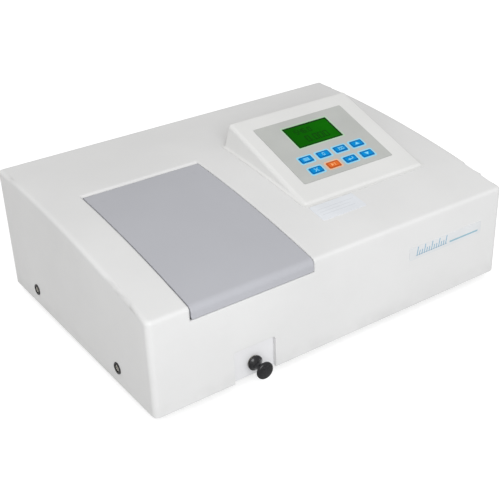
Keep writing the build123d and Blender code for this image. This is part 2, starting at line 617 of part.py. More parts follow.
with BuildPart() as mono_housing:
    block(MONO_X0, MONO_X1, MONO_Y0, MONO_Y1, MONO_Z0, MONO_Z1)
    block(
        MONO_X0 + MONO_T, MONO_X1 - MONO_T, MONO_Y0 + MONO_T, MONO_Y1 - MONO_T,
        MONO_Z0 + MONO_T, MONO_Z1 + 1, mode=Mode.SUBTRACT,
    )
    for post_x in (MONO_X0 + 12, MONO_X1 - 12):
        for post_y in (MONO_Y0 + 12, MONO_Y1 - 12):
            bar_z(FLOOR, MONO_Z0 + 1, post_x, post_y, 7)
    bar_x(MONO_X0 - 1, MONO_X0 + MONO_T + 1, BEAM_Y, BEAM_Z, 5, mode=Mode.SUBTRACT)
    bar_y(MONO_Y1 - MONO_T - 1, MONO_Y1 + 1, SLIT_X, BEAM_Z, 5, mode=Mode.SUBTRACT)
    bar_z(MONO_Z0 - 1, MONO_Z0 + MONO_T + 1, GRATING_X, GRATING_Y, SHAFT_R + RUN, mode=Mode.SUBTRACT)
    # shelf that carries the wavelength motor over the sector
    block(MONO_X0 + 2, MOTOR_X + 8, GRATING_Y - 17, GRATING_Y + 17, SHELF_Z, SHELF_Z + 3)
    block(MONO_X0 + 2, MOTOR_X + 18, GRATING_Y + 17, MONO_Y1 - 2, SHELF_Z, SHELF_Z + 3)
    bar_z(SHELF_Z - 1, SHELF_Z + 4, MOTOR_X, GRATING_Y, 6, mode=Mode.SUBTRACT)
save(mono_housing.part, "mono_housing")

with BuildPart() as mono_cover:
    block(MONO_X0, MONO_X1, MONO_Y0, MONO_Y1, MONO_Z1, MONO_Z1 + 3)
    # raised edge keeps stray light out
    block(
        MONO_X0 + MONO_T + 0.3, MONO_X1 - MONO_T - 0.3, MONO_Y0 + MONO_T + 0.3, MONO_Y1 - MONO_T - 0.3,
        MONO_Z1 - 3, MONO_Z1,
    )
    block(
        MONO_X0 + MONO_T + 3, MONO_X1 - MONO_T - 3, MONO_Y0 + MONO_T + 3, MONO_Y1 - MONO_T - 3,
        MONO_Z1 - 4, MONO_Z1, mode=Mode.SUBTRACT,
    )
save(mono_cover.part, "mono_cover")

with BuildPart() as slit_plates:
    inner_x, inner_y = MONO_X0 + MONO_T, MONO_Y1 - MONO_T
    block(inner_x, inner_x + 1, BEAM_Y - 10, BEAM_Y + 10, BEAM_Z - 12, BEAM_Z + 12)
    block(inner_x - 1, inner_x + 2, BEAM_Y - 0.5, BEAM_Y + 0.5, BEAM_Z - 5, BEAM_Z + 5, mode=Mode.SUBTRACT)
    block(SLIT_X - 10, SLIT_X + 10, inner_y - 1, inner_y, BEAM_Z - 12, BEAM_Z + 12)
    block(SLIT_X - 0.5, SLIT_X + 0.5, inner_y - 2, inner_y + 1, BEAM_Z - 5, BEAM_Z + 5, mode=Mode.SUBTRACT)
save(slit_plates.part, "slit_plates")

with BuildPart() as concave_mirrors:
    for mirror_at in (COLLIMATOR_PLANE, FOCUSER_PLANE):
        with BuildSketch(mirror_at):
            Circle(MIRROR_R)
        extrude(amount=-MIRROR_T)
        bowl_r = (MIRROR_R**2 + DISH**2) / (2 * DISH)
        with Locations(mirror_at.offset(bowl_r - DISH).location):
            Sphere(bowl_r, mode=Mode.SUBTRACT)
save(concave_mirrors.part, "concave_mirrors")

SECTOR_HALF = 32.0
TOOTH_STEP = 360.0 / SECTOR_TEETH
SECTOR_COUNT = int(SECTOR_HALF / TOOTH_STEP) * 2
with BuildPart() as grating_table:
    with BuildSketch(Plane(origin=(GRATING_X, GRATING_Y, GEAR_Z), x_dir=(-1, 0, 0), z_dir=(0, 0, 1))):
        root = gear_root_r(SECTOR_TEETH)
        with BuildLine():
            half = math.radians(SECTOR_HALF)
            corner = (root * math.cos(half), root * math.sin(half))
            Line((0, 0), corner)
            ThreePointArc(corner, (root, 0), (corner[0], -corner[1]))
            Line((corner[0], -corner[1]), (0, 0))
        make_face()
        Circle(13)
        first = -(SECTOR_COUNT - 1) / 2 * TOOTH_STEP
        with PolarLocations(0, SECTOR_COUNT, first, (SECTOR_COUNT - 1) * TOOTH_STEP, endpoint=True):
            Polygon(*tooth(SECTOR_TEETH, GEAR_MODULE), align=None)
    extrude(amount=GEAR_T)
    bar_z(MONO_Z0 - 1, GEAR_Z, GRATING_X, GRATING_Y, SHAFT_R)
    bar_z(MONO_Z0 + MONO_T + 0.6, GEAR_Z, GRATING_X, GRATING_Y, 8)
    bar_z(GEAR_Z + GEAR_T, BEAM_Z - 16, GRATING_X, GRATING_Y, 13)
save(grating_table.part, "grating_table")

GRATING_ANGLE = 19.8  # from zero order to 546 nm at 1200 lines per millimetre
half_way = mirror_plane(GRATING_POINT, COLLIMATOR, FOCUSER).z_dir
grating_normal = half_way.rotate(Axis.Z, GRATING_ANGLE)
with BuildPart() as grating:
    face = Plane(origin=(GRATING_X, GRATING_Y, BEAM_Z), x_dir=(0, 0, 1), z_dir=grating_normal)
    with BuildSketch(face):
        Rectangle(26, 26)
    extrude(amount=-6)
    with BuildSketch(face.offset(-6)):
        Rectangle(32, 24)
    extrude(amount=-3)
save(grating.part, "grating")

with BuildPart() as motor_pinion:
    with BuildSketch(Plane(origin=(MOTOR_X, GRATING_Y, GEAR_Z - 1), x_dir=(1, 0, 0), z_dir=(0, 0, 1))):
        Circle(gear_root_r(PINION_TEETH))
        with PolarLocations(0, PINION_TEETH):
            Polygon(*tooth(PINION_TEETH, GEAR_MODULE), align=None)
    extrude(amount=GEAR_T + 2)
    bar_z(GEAR_Z + GEAR_T + 1, SHELF_Z + 6, MOTOR_X, GRATING_Y, 2.5)
save(motor_pinion.part, "motor_pinion")

TUBE_X0, TUBE_X1 = TUB_RIGHT + 0.3, MONO_X0 - 0.3
CONDENSER_Y = LAMP_Y0 + 6
LENS_R, LENS_EDGE, BULGE = 6.4, 1.0, 1.2
with BuildPart() as lenses:
    for lens_at, turn_axis in (
        (
            Plane(origin=((TUBE_X0 + TUBE_X1) / 2, BEAM_Y, BEAM_Z), x_dir=(1, 0, 0), z_dir=(0, 0, 1)),
            (1, 0, 0),
        ),
        (Plane(origin=(SLIT_X, CONDENSER_Y, BEAM_Z), x_dir=(0, 1, 0), z_dir=(0, 0, 1)), (0, 1, 0)),
    ):
        with BuildSketch(lens_at):
            with BuildLine():
                Polyline(
                    (-LENS_EDGE - BULGE, 0.6), (-LENS_EDGE - BULGE, 0), (LENS_EDGE + BULGE, 0),
                    (LENS_EDGE + BULGE, 0.6),
                )
                ThreePointArc(
                    (LENS_EDGE + BULGE, 0.6), (LENS_EDGE + 0.7 * BULGE, LENS_R * 0.6),
                    (LENS_EDGE, LENS_R),
                )
                Line((LENS_EDGE, LENS_R), (-LENS_EDGE, LENS_R))
                ThreePointArc(
                    (-LENS_EDGE, LENS_R), (-LENS_EDGE - 0.7 * BULGE, LENS_R * 0.6),
                    (-LENS_EDGE - BULGE, 0.6),
                )
            make_face()
        revolve(axis=Axis(lens_at.origin, turn_axis))
    # flat windows where the beam crosses the sample compartment's walls
    for wall_x in (TUB_LEFT, TUB_RIGHT - TUB_T):
        bar_x(wall_x, wall_x + TUB_T, BEAM_Y, BEAM_Z, WINDOW_R - SLIP)
save(lenses.part, "lenses")

with BuildPart() as optic_mounts:
    for mirror_at in (COLLIMATOR_PLANE, FOCUSER_PLANE):
        with BuildSketch(mirror_at.offset(-MIRROR_T)):
            Rectangle(2 * MIRROR_R + 2, 2 * MIRROR_R + 2)
        extrude(amount=-4)
        foot = mirror_at.origin - mirror_at.z_dir * (MIRROR_T + 2)
        with BuildSketch(
            Plane(origin=(foot.X, foot.Y, MONO_Z0 + MONO_T), x_dir=mirror_at.y_dir, z_dir=(0, 0, 1)),
        ):
            Rectangle(14, 4)
        extrude(amount=BEAM_Z - MIRROR_R - MONO_Z0 - MONO_T)
    bar_x(TUBE_X0, TUBE_X1, BEAM_Y, BEAM_Z, 9)
    bar_x(TUBE_X0 - 1, TUBE_X1 + 1, BEAM_Y, BEAM_Z, LENS_R + SLIP, mode=Mode.SUBTRACT)
    bar_y(LAMP_Y0 + SHEET, CONDENSER_Y + 4, SLIT_X, BEAM_Z, 9)
    bar_y(LAMP_Y0, CONDENSER_Y + 5, SLIT_X, BEAM_Z, LENS_R + SLIP, mode=Mode.SUBTRACT)
save(optic_mounts.part, "optic_mounts")

# ---------------------------------------------------------------- lamp and filter wheel
with BuildPart() as lamp_house:
    block(LAMP_X0, LAMP_X1, LAMP_Y0, LAMP_Y1, FLOOR, LAMP_Z1)
    block(
        LAMP_X0 + SHEET, LAMP_X1 - SHEET, LAMP_Y0 + SHEET, LAMP_Y1 - SHEET,
        FLOOR - 1, LAMP_Z1 - SHEET, mode=Mode.SUBTRACT,
    )
    bar_y(LAMP_Y0 - 1, LAMP_Y0 + SHEET + 1, SLIT_X, BEAM_Z, 7, mode=Mode.SUBTRACT)
    with BuildSketch(facing_front(LAMP_Y1 + 1)):
        with Locations((FAN_X, FAN_Z)):
            with GridLocations(8, 1, 6, 1):
                SlotOverall(50, 4, rotation=90)
    extrude(amount=SHEET + 2, mode=Mode.SUBTRACT)
save(lamp_house.part, "lamp_house")

with BuildPart() as lamp_socket:
    block(SLIT_X - 10, SLIT_X + 10, LAMP_Y - 8, LAMP_Y + 8, FLOOR, BEAM_Z - 12)
    for pin in (-3.2, 3.2):
        bar_z(BEAM_Z - 22, BEAM_Z - 11, SLIT_X + pin, LAMP_Y, 0.7 + SLIP, mode=Mode.SUBTRACT)
save(lamp_socket.part, "lamp_socket")

with BuildPart() as halogen_lamp:
    with BuildSketch(Plane(origin=(SLIT_X, LAMP_Y, 0), x_dir=(1, 0, 0), z_dir=(0, -1, 0))):
        with BuildLine():
            Polyline((0, BEAM_Z - 11.5), (5.5, BEAM_Z - 11.5), (5.5, BEAM_Z + 8))
            ThreePointArc((5.5, BEAM_Z + 8), (4.4, BEAM_Z + 11.2), (1, BEAM_Z + 13))
            Polyline((1, BEAM_Z + 13), (0.6, BEAM_Z + 14.5), (0, BEAM_Z + 14.5), (0, BEAM_Z - 11.5))
        make_face()
    revolve(axis=Axis((SLIT_X, LAMP_Y, 0), (0, 0, 1)))
    for pin in (-3.2, 3.2):
        bar_z(BEAM_Z - 20, BEAM_Z - 11.5, SLIT_X + pin, LAMP_Y, 0.7)
save(halogen_lamp.part, "halogen_lamp")

WHEEL_Y0, WHEEL_Y1 = FRONT + 204.0, FRONT + 207.0
FILTERS = 6
FIRST_FILTER = math.degrees(math.atan2(BEAM_Z - WHEEL_Z, SLIT_X - WHEEL_X))
with BuildPart() as filter_wheel:
    with BuildSketch(Plane(origin=(WHEEL_X, WHEEL_Y1, WHEEL_Z), x_dir=(1, 0, 0), z_dir=(0, -1, 0))):
        Circle(WHEEL_R)
        with PolarLocations(FILTER_RING_R, FILTERS, start_angle=FIRST_FILTER):
            Circle(FILTER_R + SLIP, mode=Mode.SUBTRACT)
    extrude(amount=WHEEL_Y1 - WHEEL_Y0)
    bar_y(WHEEL_Y1, WHEEL_Y1 + 6, WHEEL_X, WHEEL_Z, 1.5)
save(filter_wheel.part, "filter_wheel")

with BuildPart() as order_filters:
    with BuildSketch(Plane(origin=(WHEEL_X, WHEEL_Y1 - 0.5, WHEEL_Z), x_dir=(1, 0, 0), z_dir=(0, -1, 0))):
        with PolarLocations(FILTER_RING_R, FILTERS, start_angle=FIRST_FILTER):
            Circle(FILTER_R)
    extrude(amount=2)
save(order_filters.part, "order_filters")

with BuildPart() as stepper_motors:
    with BuildSketch(Plane.XY.offset(SHELF_Z + 3)):
        with Locations((MOTOR_X, GRATING_Y)):
            RectangleRounded(MOTOR_SIZE, MOTOR_SIZE, 3)
    extrude(amount=MOTOR_H)
    bar_z(SHELF_Z + 2, SHELF_Z + 8, MOTOR_X, GRATING_Y, 2.5 + RUN, mode=Mode.SUBTRACT)
    bar_y(WHEEL_Y1 + 1.5, LAMP_Y0, WHEEL_X, WHEEL_Z, 12)
    bar_y(WHEEL_Y1, WHEEL_Y1 + 8, WHEEL_X, WHEEL_Z, 1.5 + RUN, mode=Mode.SUBTRACT)
save(stepper_motors.part, "stepper_motors")

# ---------------------------------------------------------------- console
PANEL = Plane(
    origin=(CONSOLE_X, CONSOLE_Y, CONSOLE_Z),
    x_dir=(1, 0, 0),
    z_dir=(0, -math.sin(math.radians(TILT)), math.cos(math.radians(TILT))),
)
CONSOLE_BACK = (
    CONSOLE_Y + CONSOLE_L * math.cos(math.radians(TILT)),
    CONSOLE_Z + CONSOLE_L * math.sin(math.radians(TILT)),
)
CONSOLE_REAR = CONSOLE_BACK[0] + 15.0  # foot of the leaning rear wall
CONSOLE_BURIED = 2.0  # how far the front wall leans out by the time it is inside the cover
FLARE_R = 3.0
RIM_T = 0.4
CONSOLE_R = 5.0  # console's upright corners and top edges


def console_side():
    """Side-view corners of the console wedge, running down into the cover."""
    return [
        (CONSOLE_Y - CONSOLE_BURIED, BOTTOM + 112),
        (CONSOLE_Y, CONSOLE_Z),
        CONSOLE_BACK,
        (CONSOLE_REAR, BOTTOM + 138),
        (CONSOLE_REAR, BOTTOM + 112),
    ]


with BuildPart() as console_shell:
    with BuildSketch(Plane.YZ.offset(CONSOLE_LEFT)):
        Polygon(*console_side(), align=None)
    extrude(amount=CONSOLE_RIGHT - CONSOLE_LEFT)
    top_face = console_shell.faces().filter_by(lambda f: f.normal_at().Z > 0.9)[0]
    corners = [
        e for e in console_shell.edges()
        if min(abs(e.center().X - CONSOLE_LEFT), abs(e.center().X - CONSOLE_RIGHT)) < 0.1
        and (e.center().Y < CONSOLE_Y + 1 or e.center().Y > CONSOLE_BACK[0] + 1)
        and e.center().Z > BOTTOM + 113
    ]
    fillet(corners + list(top_face.edges()), CONSOLE_R)
    # flared foot where the console stands on the cover
    add(
        crowned_slab(
            CONSOLE_LEFT - 12, CONSOLE_RIGHT + 12, CONSOLE_Y - 14, CONSOLE_REAR + 12, -RIM_T, 6,
        )
    )
    foot_line = [
        e for e in console_shell.edges()
        if abs(e.center().Z - crown_z(e.center().Y, -RIM_T)) < 0.4
        and CONSOLE_LEFT - 3 < e.center().X < CONSOLE_RIGHT + 3
        and CONSOLE_Y - 5 < e.center().Y < CONSOLE_REAR + 3
    ]
    fillet(foot_line, FLARE_R)
    with BuildSketch(Plane.XY.offset(BOTTOM + 100)):
        with Locations(
            ((CONSOLE_LEFT + CONSOLE_RIGHT) / 2, (CONSOLE_Y - CONSOLE_BURIED + CONSOLE_REAR) / 2)
        ):
            RectangleRounded(
                CONSOLE_RIGHT - CONSOLE_LEFT + 2 * FLARE_R,
                CONSOLE_REAR - CONSOLE_Y + 2 * FLARE_R, CONSOLE_R + FLARE_R,
            )
    extrude(amount=100, mode=Mode.INTERSECT)
    add(crowned_block(LEFT, RIGHT, FRONT, REAR, BOTTOM + 50, 0), mode=Mode.SUBTRACT)
    # hollow inside
    with BuildSketch(Plane.YZ.offset(CONSOLE_LEFT + CONSOLE_T)):
        Polygon(*console_side(), align=None)
        offset(amount=-CONSOLE_T, kind=Kind.INTERSECTION)
    extrude(amount=CONSOLE_RIGHT - CONSOLE_LEFT - 2 * CONSOLE_T, mode=Mode.SUBTRACT)
    # seat for the overlay, and the windows under it
    with BuildSketch(PANEL.offset(-OVERLAY_T + 0.2)):
        with Locations((0, OVERLAY_V)):
            RectangleRounded(OVERLAY_W + 0.4, OVERLAY_L + 0.4, 2)
    extrude(amount=5, mode=Mode.SUBTRACT)
    with BuildSketch(PANEL.offset(-CONSOLE_T - 1)):
        with Locations((0, LCD_V)):
            Rectangle(LCD_W + 2, LCD_L + 2)
        with Locations((0, KEY_V)):
            Rectangle(3 * KEY_PITCH_X + KEY_W + 6, KEY_PITCH_V + KEY_L + 5)
    extrude(amount=5, mode=Mode.SUBTRACT)
save(console_shell.part, "console_shell")

KEY_SPOTS = [
    (KEY_PITCH_X * (column - 1.5), KEY_V + KEY_PITCH_V * (0.5 - row))
    for row in range(2)
    for column in range(4)
]
KEY_NAMES = [
    "key_mode", "key_zero", "key_full", "key_up",
    "key_clear", "key_start", "key_enter", "key_down",
]

with BuildPart() as keypad_overlay:
    with BuildSketch(PANEL.offset(0.2)):
        with Locations((0, OVERLAY_V)):
            RectangleRounded(OVERLAY_W, OVERLAY_L, 1.8)
        with Locations((0, LCD_V)):
            Rectangle(LCD_W, LCD_L, mode=Mode.SUBTRACT)
        with Locations(*KEY_SPOTS):
            RectangleRounded(KEY_W + 0.8, KEY_L + 0.8, 1.6, mode=Mode.SUBTRACT)
    extrude(amount=-OVERLAY_T)
save(keypad_overlay.part, "keypad_overlay")

for key_name, key_spot in zip(KEY_NAMES, KEY_SPOTS):
    with BuildPart() as key:
        with BuildSketch(PANEL.offset(-1.6)):
            with Locations(key_spot):
                RectangleRounded(KEY_W + 2.4, KEY_L + 2.4, 2)
        extrude(amount=0.6)
        with BuildSketch(PANEL.offset(-1.0)):
            with Locations(key_spot):
                RectangleRounded(KEY_W, KEY_L, 1.4)
        extrude(amount=1.8)
        crown_face = key.faces().filter_by(lambda f: f.normal_at().Z > 0.9).sort_by(
            lambda f: PANEL.to_local_coords(f.center()).Z
        )[-1]
        fillet(crown_face.edges(), 0.4)
    save(key.part, key_name)

with BuildPart() as lcd_module:
    with BuildSketch(PANEL.offset(-10)):
        with Locations((0, LCD_V)):
            Rectangle(84, 48)
    extrude(amount=6.4)
    with BuildSketch(PANEL.offset(-3.6)):
        with Locations((0, LCD_V)):
            Rectangle(LCD_W - 0.4, LCD_L - 0.4)
    extrude(amount=3.4)
save(lcd_module.part, "lcd_module")

with BuildPart() as keypad_board:
    with BuildSketch(PANEL.offset(-6)):
        with Locations((0, KEY_V)):
            Rectangle(112, 44)
    extrude(amount=1.6)
    with BuildSketch(PANEL.offset(-4.4)):
        with Locations(*KEY_SPOTS):
            Circle(3.5)
    extrude(amount=4.4 - 1.6 - KEY_TRAVEL - 0.2)
save(keypad_board.part, "keypad_board")

# ---------------------------------------------------------------- back of the instrument
with BuildPart() as rear_panel:
    block(LEFT + 24, RIGHT - 19, PANEL_Y - SHEET, PANEL_Y, FLOOR, BOTTOM + 94)
    block(LEFT + 24, RIGHT - 19, PANEL_Y - 14, PANEL_Y - SHEET, FLOOR, FLOOR + SHEET)
    block(
        INLET_X - 14, INLET_X + 14, PANEL_Y - 4, PANEL_Y + 1, INLET_Z - 30, INLET_Z + 30,
        mode=Mode.SUBTRACT,
    )
    block(PORT_X - 10, PORT_X + 10, PANEL_Y - 4, PANEL_Y + 1, PORT_Z - 5.5, PORT_Z + 5.5, mode=Mode.SUBTRACT)
    # punched fan grille
    with BuildSketch(facing_front(PANEL_Y + 1)):
        with Locations((FAN_X, FAN_Z)):
            with PolarLocations(21, 16):
                SlotOverall(11, 4)
            with PolarLocations(10, 8):
                SlotOverall(8, 3.6)
    extrude(amount=SHEET + 2, mode=Mode.SUBTRACT)
save(rear_panel.part, "rear_panel")

with BuildPart() as mains_inlet:
    block(INLET_X - 13.6, INLET_X + 13.6, PANEL_Y - 24, PANEL_Y, INLET_Z - 29.6, INLET_Z + 29.6)
    block(INLET_X - 16, INLET_X + 16, PANEL_Y, PANEL_Y + 2.4, INLET_Z - 32, INLET_Z + 32)
    # socket mouth with its three blades
    block(
        INLET_X - 11, INLET_X + 11, PANEL_Y - 17, PANEL_Y + 3, INLET_Z - 27, INLET_Z - 11,
        mode=Mode.SUBTRACT,
    )
    for blade_x, blade_z in ((-7, -21), (0, -17), (7, -21)):
        block(
            INLET_X + blade_x - 1, INLET_X + blade_x + 1, PANEL_Y - 18, PANEL_Y - 3,
            INLET_Z + blade_z - 2, INLET_Z + blade_z + 2,
        )
    # rooms for the fuse drawer and the rocker
    block(
        INLET_X - 11, INLET_X + 11, PANEL_Y - 18, PANEL_Y + 3, INLET_Z - 8.2, INLET_Z + 1.2,
        mode=Mode.SUBTRACT,
    )
    block(
        INLET_X - 10, INLET_X + 10, PANEL_Y - 18, PANEL_Y + 3, INLET_Z + 5, INLET_Z + 28,
        mode=Mode.SUBTRACT,
    )
    bar_x(INLET_X - 12.5, INLET_X + 12.5, PANEL_Y - 5, INLET_Z + 16.5, 1.5 + RUN, mode=Mode.SUBTRACT)
save(mains_inlet.part, "mains_inlet")

with BuildPart() as fuse_drawer:
    block(INLET_X - 10.8, INLET_X + 10.8, PANEL_Y - 17.5, PANEL_Y + 2.4, INLET_Z - 8, INLET_Z + 1)
    block(
        INLET_X - 10.1, INLET_X + 10.1, PANEL_Y - 15, PANEL_Y - 2, INLET_Z - 6, INLET_Z + 3,
        mode=Mode.SUBTRACT,
    )
    bar_x(INLET_X - 10, INLET_X + 10, PANEL_Y - 8, INLET_Z - 3.4, 2.5)
    block(INLET_X - 4, INLET_X + 4, PANEL_Y + 1.6, PANEL_Y + 3, INLET_Z - 5, INLET_Z - 4, mode=Mode.SUBTRACT)
save(fuse_drawer.part, "fuse_drawer")

ROCKER_TILT = 8.0  # the switch rests off, with its lower half pressed
ROCKER_Y, ROCKER_Z = PANEL_Y - 5, INLET_Z + 16.5
lean = math.radians(ROCKER_TILT)
rocker_plane = Plane(
    origin=(INLET_X - 9.6, ROCKER_Y, ROCKER_Z), x_dir=(0, math.cos(lean), -math.sin(lean)),
    z_dir=(1, 0, 0),
)
with BuildPart() as power_rocker:
    with BuildSketch(rocker_plane):
        Polygon(
            (-4, -3.5), (4.6, -9.8), (7.8, -9.8), (6.2, 0), (7.8, 9.8), (4.6, 9.8), (-4, 3.5), align=None,
        )
    extrude(amount=19.2)
    bar_x(INLET_X - 12, INLET_X + 12, ROCKER_Y, ROCKER_Z, 1.5)
save(power_rocker.part, "power_rocker")

with BuildPart() as serial_port:
    block(PORT_X - 9.6, PORT_X + 9.6, PANEL_Y - 14, PANEL_Y + 4, PORT_Z - 5, PORT_Z + 5)
    block(PORT_X - 16, PORT_X + 16, PANEL_Y, PANEL_Y + 1, PORT_Z - 6.5, PORT_Z + 6.5)
    block(
        PORT_X - 8.4, PORT_X + 8.4, PANEL_Y - 2, PANEL_Y + 5, PORT_Z - 3.9, PORT_Z + 3.9,
        mode=Mode.SUBTRACT,
    )
    for row_z, count in ((1.4, 5), (-1.4, 4)):
        for n in range(count):
            bar_y(PANEL_Y - 3, PANEL_Y + 3, PORT_X + (n - (count - 1) / 2) * 2.76, PORT_Z + row_z, 0.5)
save(serial_port.part, "serial_port")

FAN_Y1 = PANEL_Y - SHEET
FAN_Y0 = FAN_Y1 - FAN_T
with BuildPart() as fan_frame:
    with BuildSketch(facing_front(FAN_Y1)):
        with Locations((FAN_X, FAN_Z)):
            RectangleRounded(FAN_SIZE, FAN_SIZE, 4)
            Circle(28, mode=Mode.SUBTRACT)
    extrude(amount=FAN_T)
    for strut_turn in (0, 1):
        half_x, half_z = (29, 1.5) if strut_turn == 0 else (1.5, 29)
        block(FAN_X - half_x, FAN_X + half_x, FAN_Y0, FAN_Y0 + 2, FAN_Z - half_z, FAN_Z + half_z)
    bar_y(FAN_Y0, FAN_Y0 + 2, FAN_X, FAN_Z, 12)
    bar_y(FAN_Y0 + 2, FAN_Y0 + 9, FAN_X, FAN_Z, 2)
save(fan_frame.part, "fan_frame")

BLADES = 7
with BuildPart() as fan_rotor:
    bar_y(FAN_Y0 + 2.6, FAN_Y1 - 1, FAN_X, FAN_Z, 13)
    for n in range(BLADES):
        turn = 360 / BLADES * n
        reach = math.radians(turn)
        centre = (FAN_X + 19.2 * math.cos(reach), (FAN_Y0 + FAN_Y1) / 2 + 0.8, FAN_Z + 19.2 * math.sin(reach))
        with Locations(
            Location(centre) * Location((0, 0, 0), (0, -turn, 0)) * Location((0, 0, 0), (40, 0, 0)),
        ):
            Box(15.4, 1.4, 12)
    bar_y(FAN_Y0 + 2, FAN_Y0 + 10, FAN_X, FAN_Z, 2 + RUN, mode=Mode.SUBTRACT)
save(fan_rotor.part, "fan_rotor")

# ---------------------------------------------------------------- electronics
SUPPLY = (LEFT + 20, LEFT + 130, FRONT + 222, FRONT + 306)
SUPPLY_Z = FLOOR + 6
with BuildPart() as power_supply:
    block(*SUPPLY, SUPPLY_Z, SUPPLY_Z + 38)
    block(
        SUPPLY[0] + 1.5, SUPPLY[1] - 1.5, SUPPLY[2] + 1.5, SUPPLY[3] - 1.5,
        SUPPLY_Z + 1.5, SUPPLY_Z + 36.5, mode=Mode.SUBTRACT,
    )
    for post_x in (SUPPLY[0] + 8, SUPPLY[1] - 8):
        for post_y in (SUPPLY[2] + 8, SUPPLY[3] - 24):
            bar_z(FLOOR, SUPPLY_Z + 1, post_x, post_y, 3)
    with BuildSketch(Plane.XY.offset(SUPPLY_Z + 36)):
        with Locations(((SUPPLY[0] + SUPPLY[1]) / 2, (SUPPLY[2] + SUPPLY[3]) / 2)):
            with GridLocations(10, 10, 10, 7):
                Circle(3)
    extrude(amount=3, mode=Mode.SUBTRACT)
save(power_supply.part, "power_supply")

BOARD = (LEFT + 145, LEFT + 300, FRONT + 222, FRONT + 312)
BOARD_Z = FLOOR + 8
with BuildPart() as main_board:
    block(*BOARD, BOARD_Z, BOARD_Z + 1.6)
    for post_x in (BOARD[0] + 5, BOARD[1] - 5):
        for post_y in (BOARD[2] + 5, BOARD[3] - 5):
            bar_z(FLOOR, BOARD_Z, post_x, post_y, 3)
    top = BOARD_Z + 1.6
    block(BOARD[0] + 60, BOARD[0] + 84, BOARD[2] + 30, BOARD[2] + 54, top, top + 2)
    block(BOARD[0] + 100, BOARD[0] + 118, BOARD[2] + 50, BOARD[2] + 62, top, top + 2)
    block(BOARD[0] + 12, BOARD[0] + 22, BOARD[2] + 20, BOARD[2] + 60, top, top + 12)
    block(BOARD[0] + 100, BOARD[0] + 150, BOARD[2] + 6, BOARD[2] + 14, top, top + 9)
    for n in range(3):
        bar_z(top, top + 14, BOARD[0] + 36, BOARD[2] + 22 + 16 * n, 5)
save(main_board.part, "main_board")

RIBBON_X = LEFT + 282
with BuildPart() as display_ribbon:
    with BuildLine() as ribbon_path:
        start = (RIBBON_X, BOARD[2] + 10, top + 9)
        Polyline(
            start, (RIBBON_X, BOARD[2] + 10, BOTTOM + 108), (RIBBON_X, CONSOLE_Y + 112, BOTTOM + 122),
            (RIBBON_X, CONSOLE_Y + 100, CONSOLE_Z + 16), (RIBBON_X, CONSOLE_Y + 62, CONSOLE_Z + 10),
        )
        fillet(ribbon_path.vertices(), 6)
    with BuildSketch(Plane(origin=start, x_dir=(1, 0, 0), z_dir=(0, 0, 1))):
        Rectangle(20, 1)
    sweep()
save(display_ribbon.part, "display_ribbon")
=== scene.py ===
import json
import math

import bmesh
import bpy
from mathutils import Matrix, Vector


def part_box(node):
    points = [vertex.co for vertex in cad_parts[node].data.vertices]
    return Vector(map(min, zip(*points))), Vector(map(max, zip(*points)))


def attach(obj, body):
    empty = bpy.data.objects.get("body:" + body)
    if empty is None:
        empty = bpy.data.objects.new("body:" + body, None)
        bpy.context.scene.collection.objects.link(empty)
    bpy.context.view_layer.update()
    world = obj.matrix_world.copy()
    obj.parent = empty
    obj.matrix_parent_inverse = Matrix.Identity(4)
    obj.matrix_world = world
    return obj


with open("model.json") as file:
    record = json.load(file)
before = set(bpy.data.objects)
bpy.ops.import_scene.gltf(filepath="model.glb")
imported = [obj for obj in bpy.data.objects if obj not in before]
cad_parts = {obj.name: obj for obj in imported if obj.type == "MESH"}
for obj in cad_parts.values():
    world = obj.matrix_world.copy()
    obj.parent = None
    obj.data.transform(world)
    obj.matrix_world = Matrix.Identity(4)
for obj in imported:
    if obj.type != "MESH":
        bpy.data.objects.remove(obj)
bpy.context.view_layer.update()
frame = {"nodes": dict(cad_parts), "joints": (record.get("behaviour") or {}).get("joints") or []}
NODES = frame["nodes"]
MM = 0.001
PRINT_T = 0.06 * MM  # ink stands this far above the surface under it, and reaches as far into it
KEY_SIZE = (17.0 * MM, 9.6 * MM)
KEY_GAP = 0.9 * MM  # opening of the overlay, wider than the key
KEY_BORDER = 1.3 * MM  # darker print round the edge of a key
HALO_W = 2.4 * MM  # pale print on the overlay round a key
LCD_SIZE = (66.4 * MM, 38.2 * MM)
KEYS = [name for name in NODES if name.startswith("key_")]
BOTTOM_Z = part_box("top_cover")[0].z


# ---------------------------------------------------------------- node helpers
def srgb(red, green, blue):
    """Screen colour, 0 to 255, as the linear colour that shaders use."""
    def linear(value):
        value /= 255
        return value / 12.92 if value <= 0.04045 else ((value + 0.055) / 1.055) ** 2.4

    return (linear(red), linear(green), linear(blue), 1)


def shade(colour, factor):
    """The colour made lighter or darker, never brighter than white."""
    return tuple(min(1, c * factor) for c in colour[:3]) + (1,)


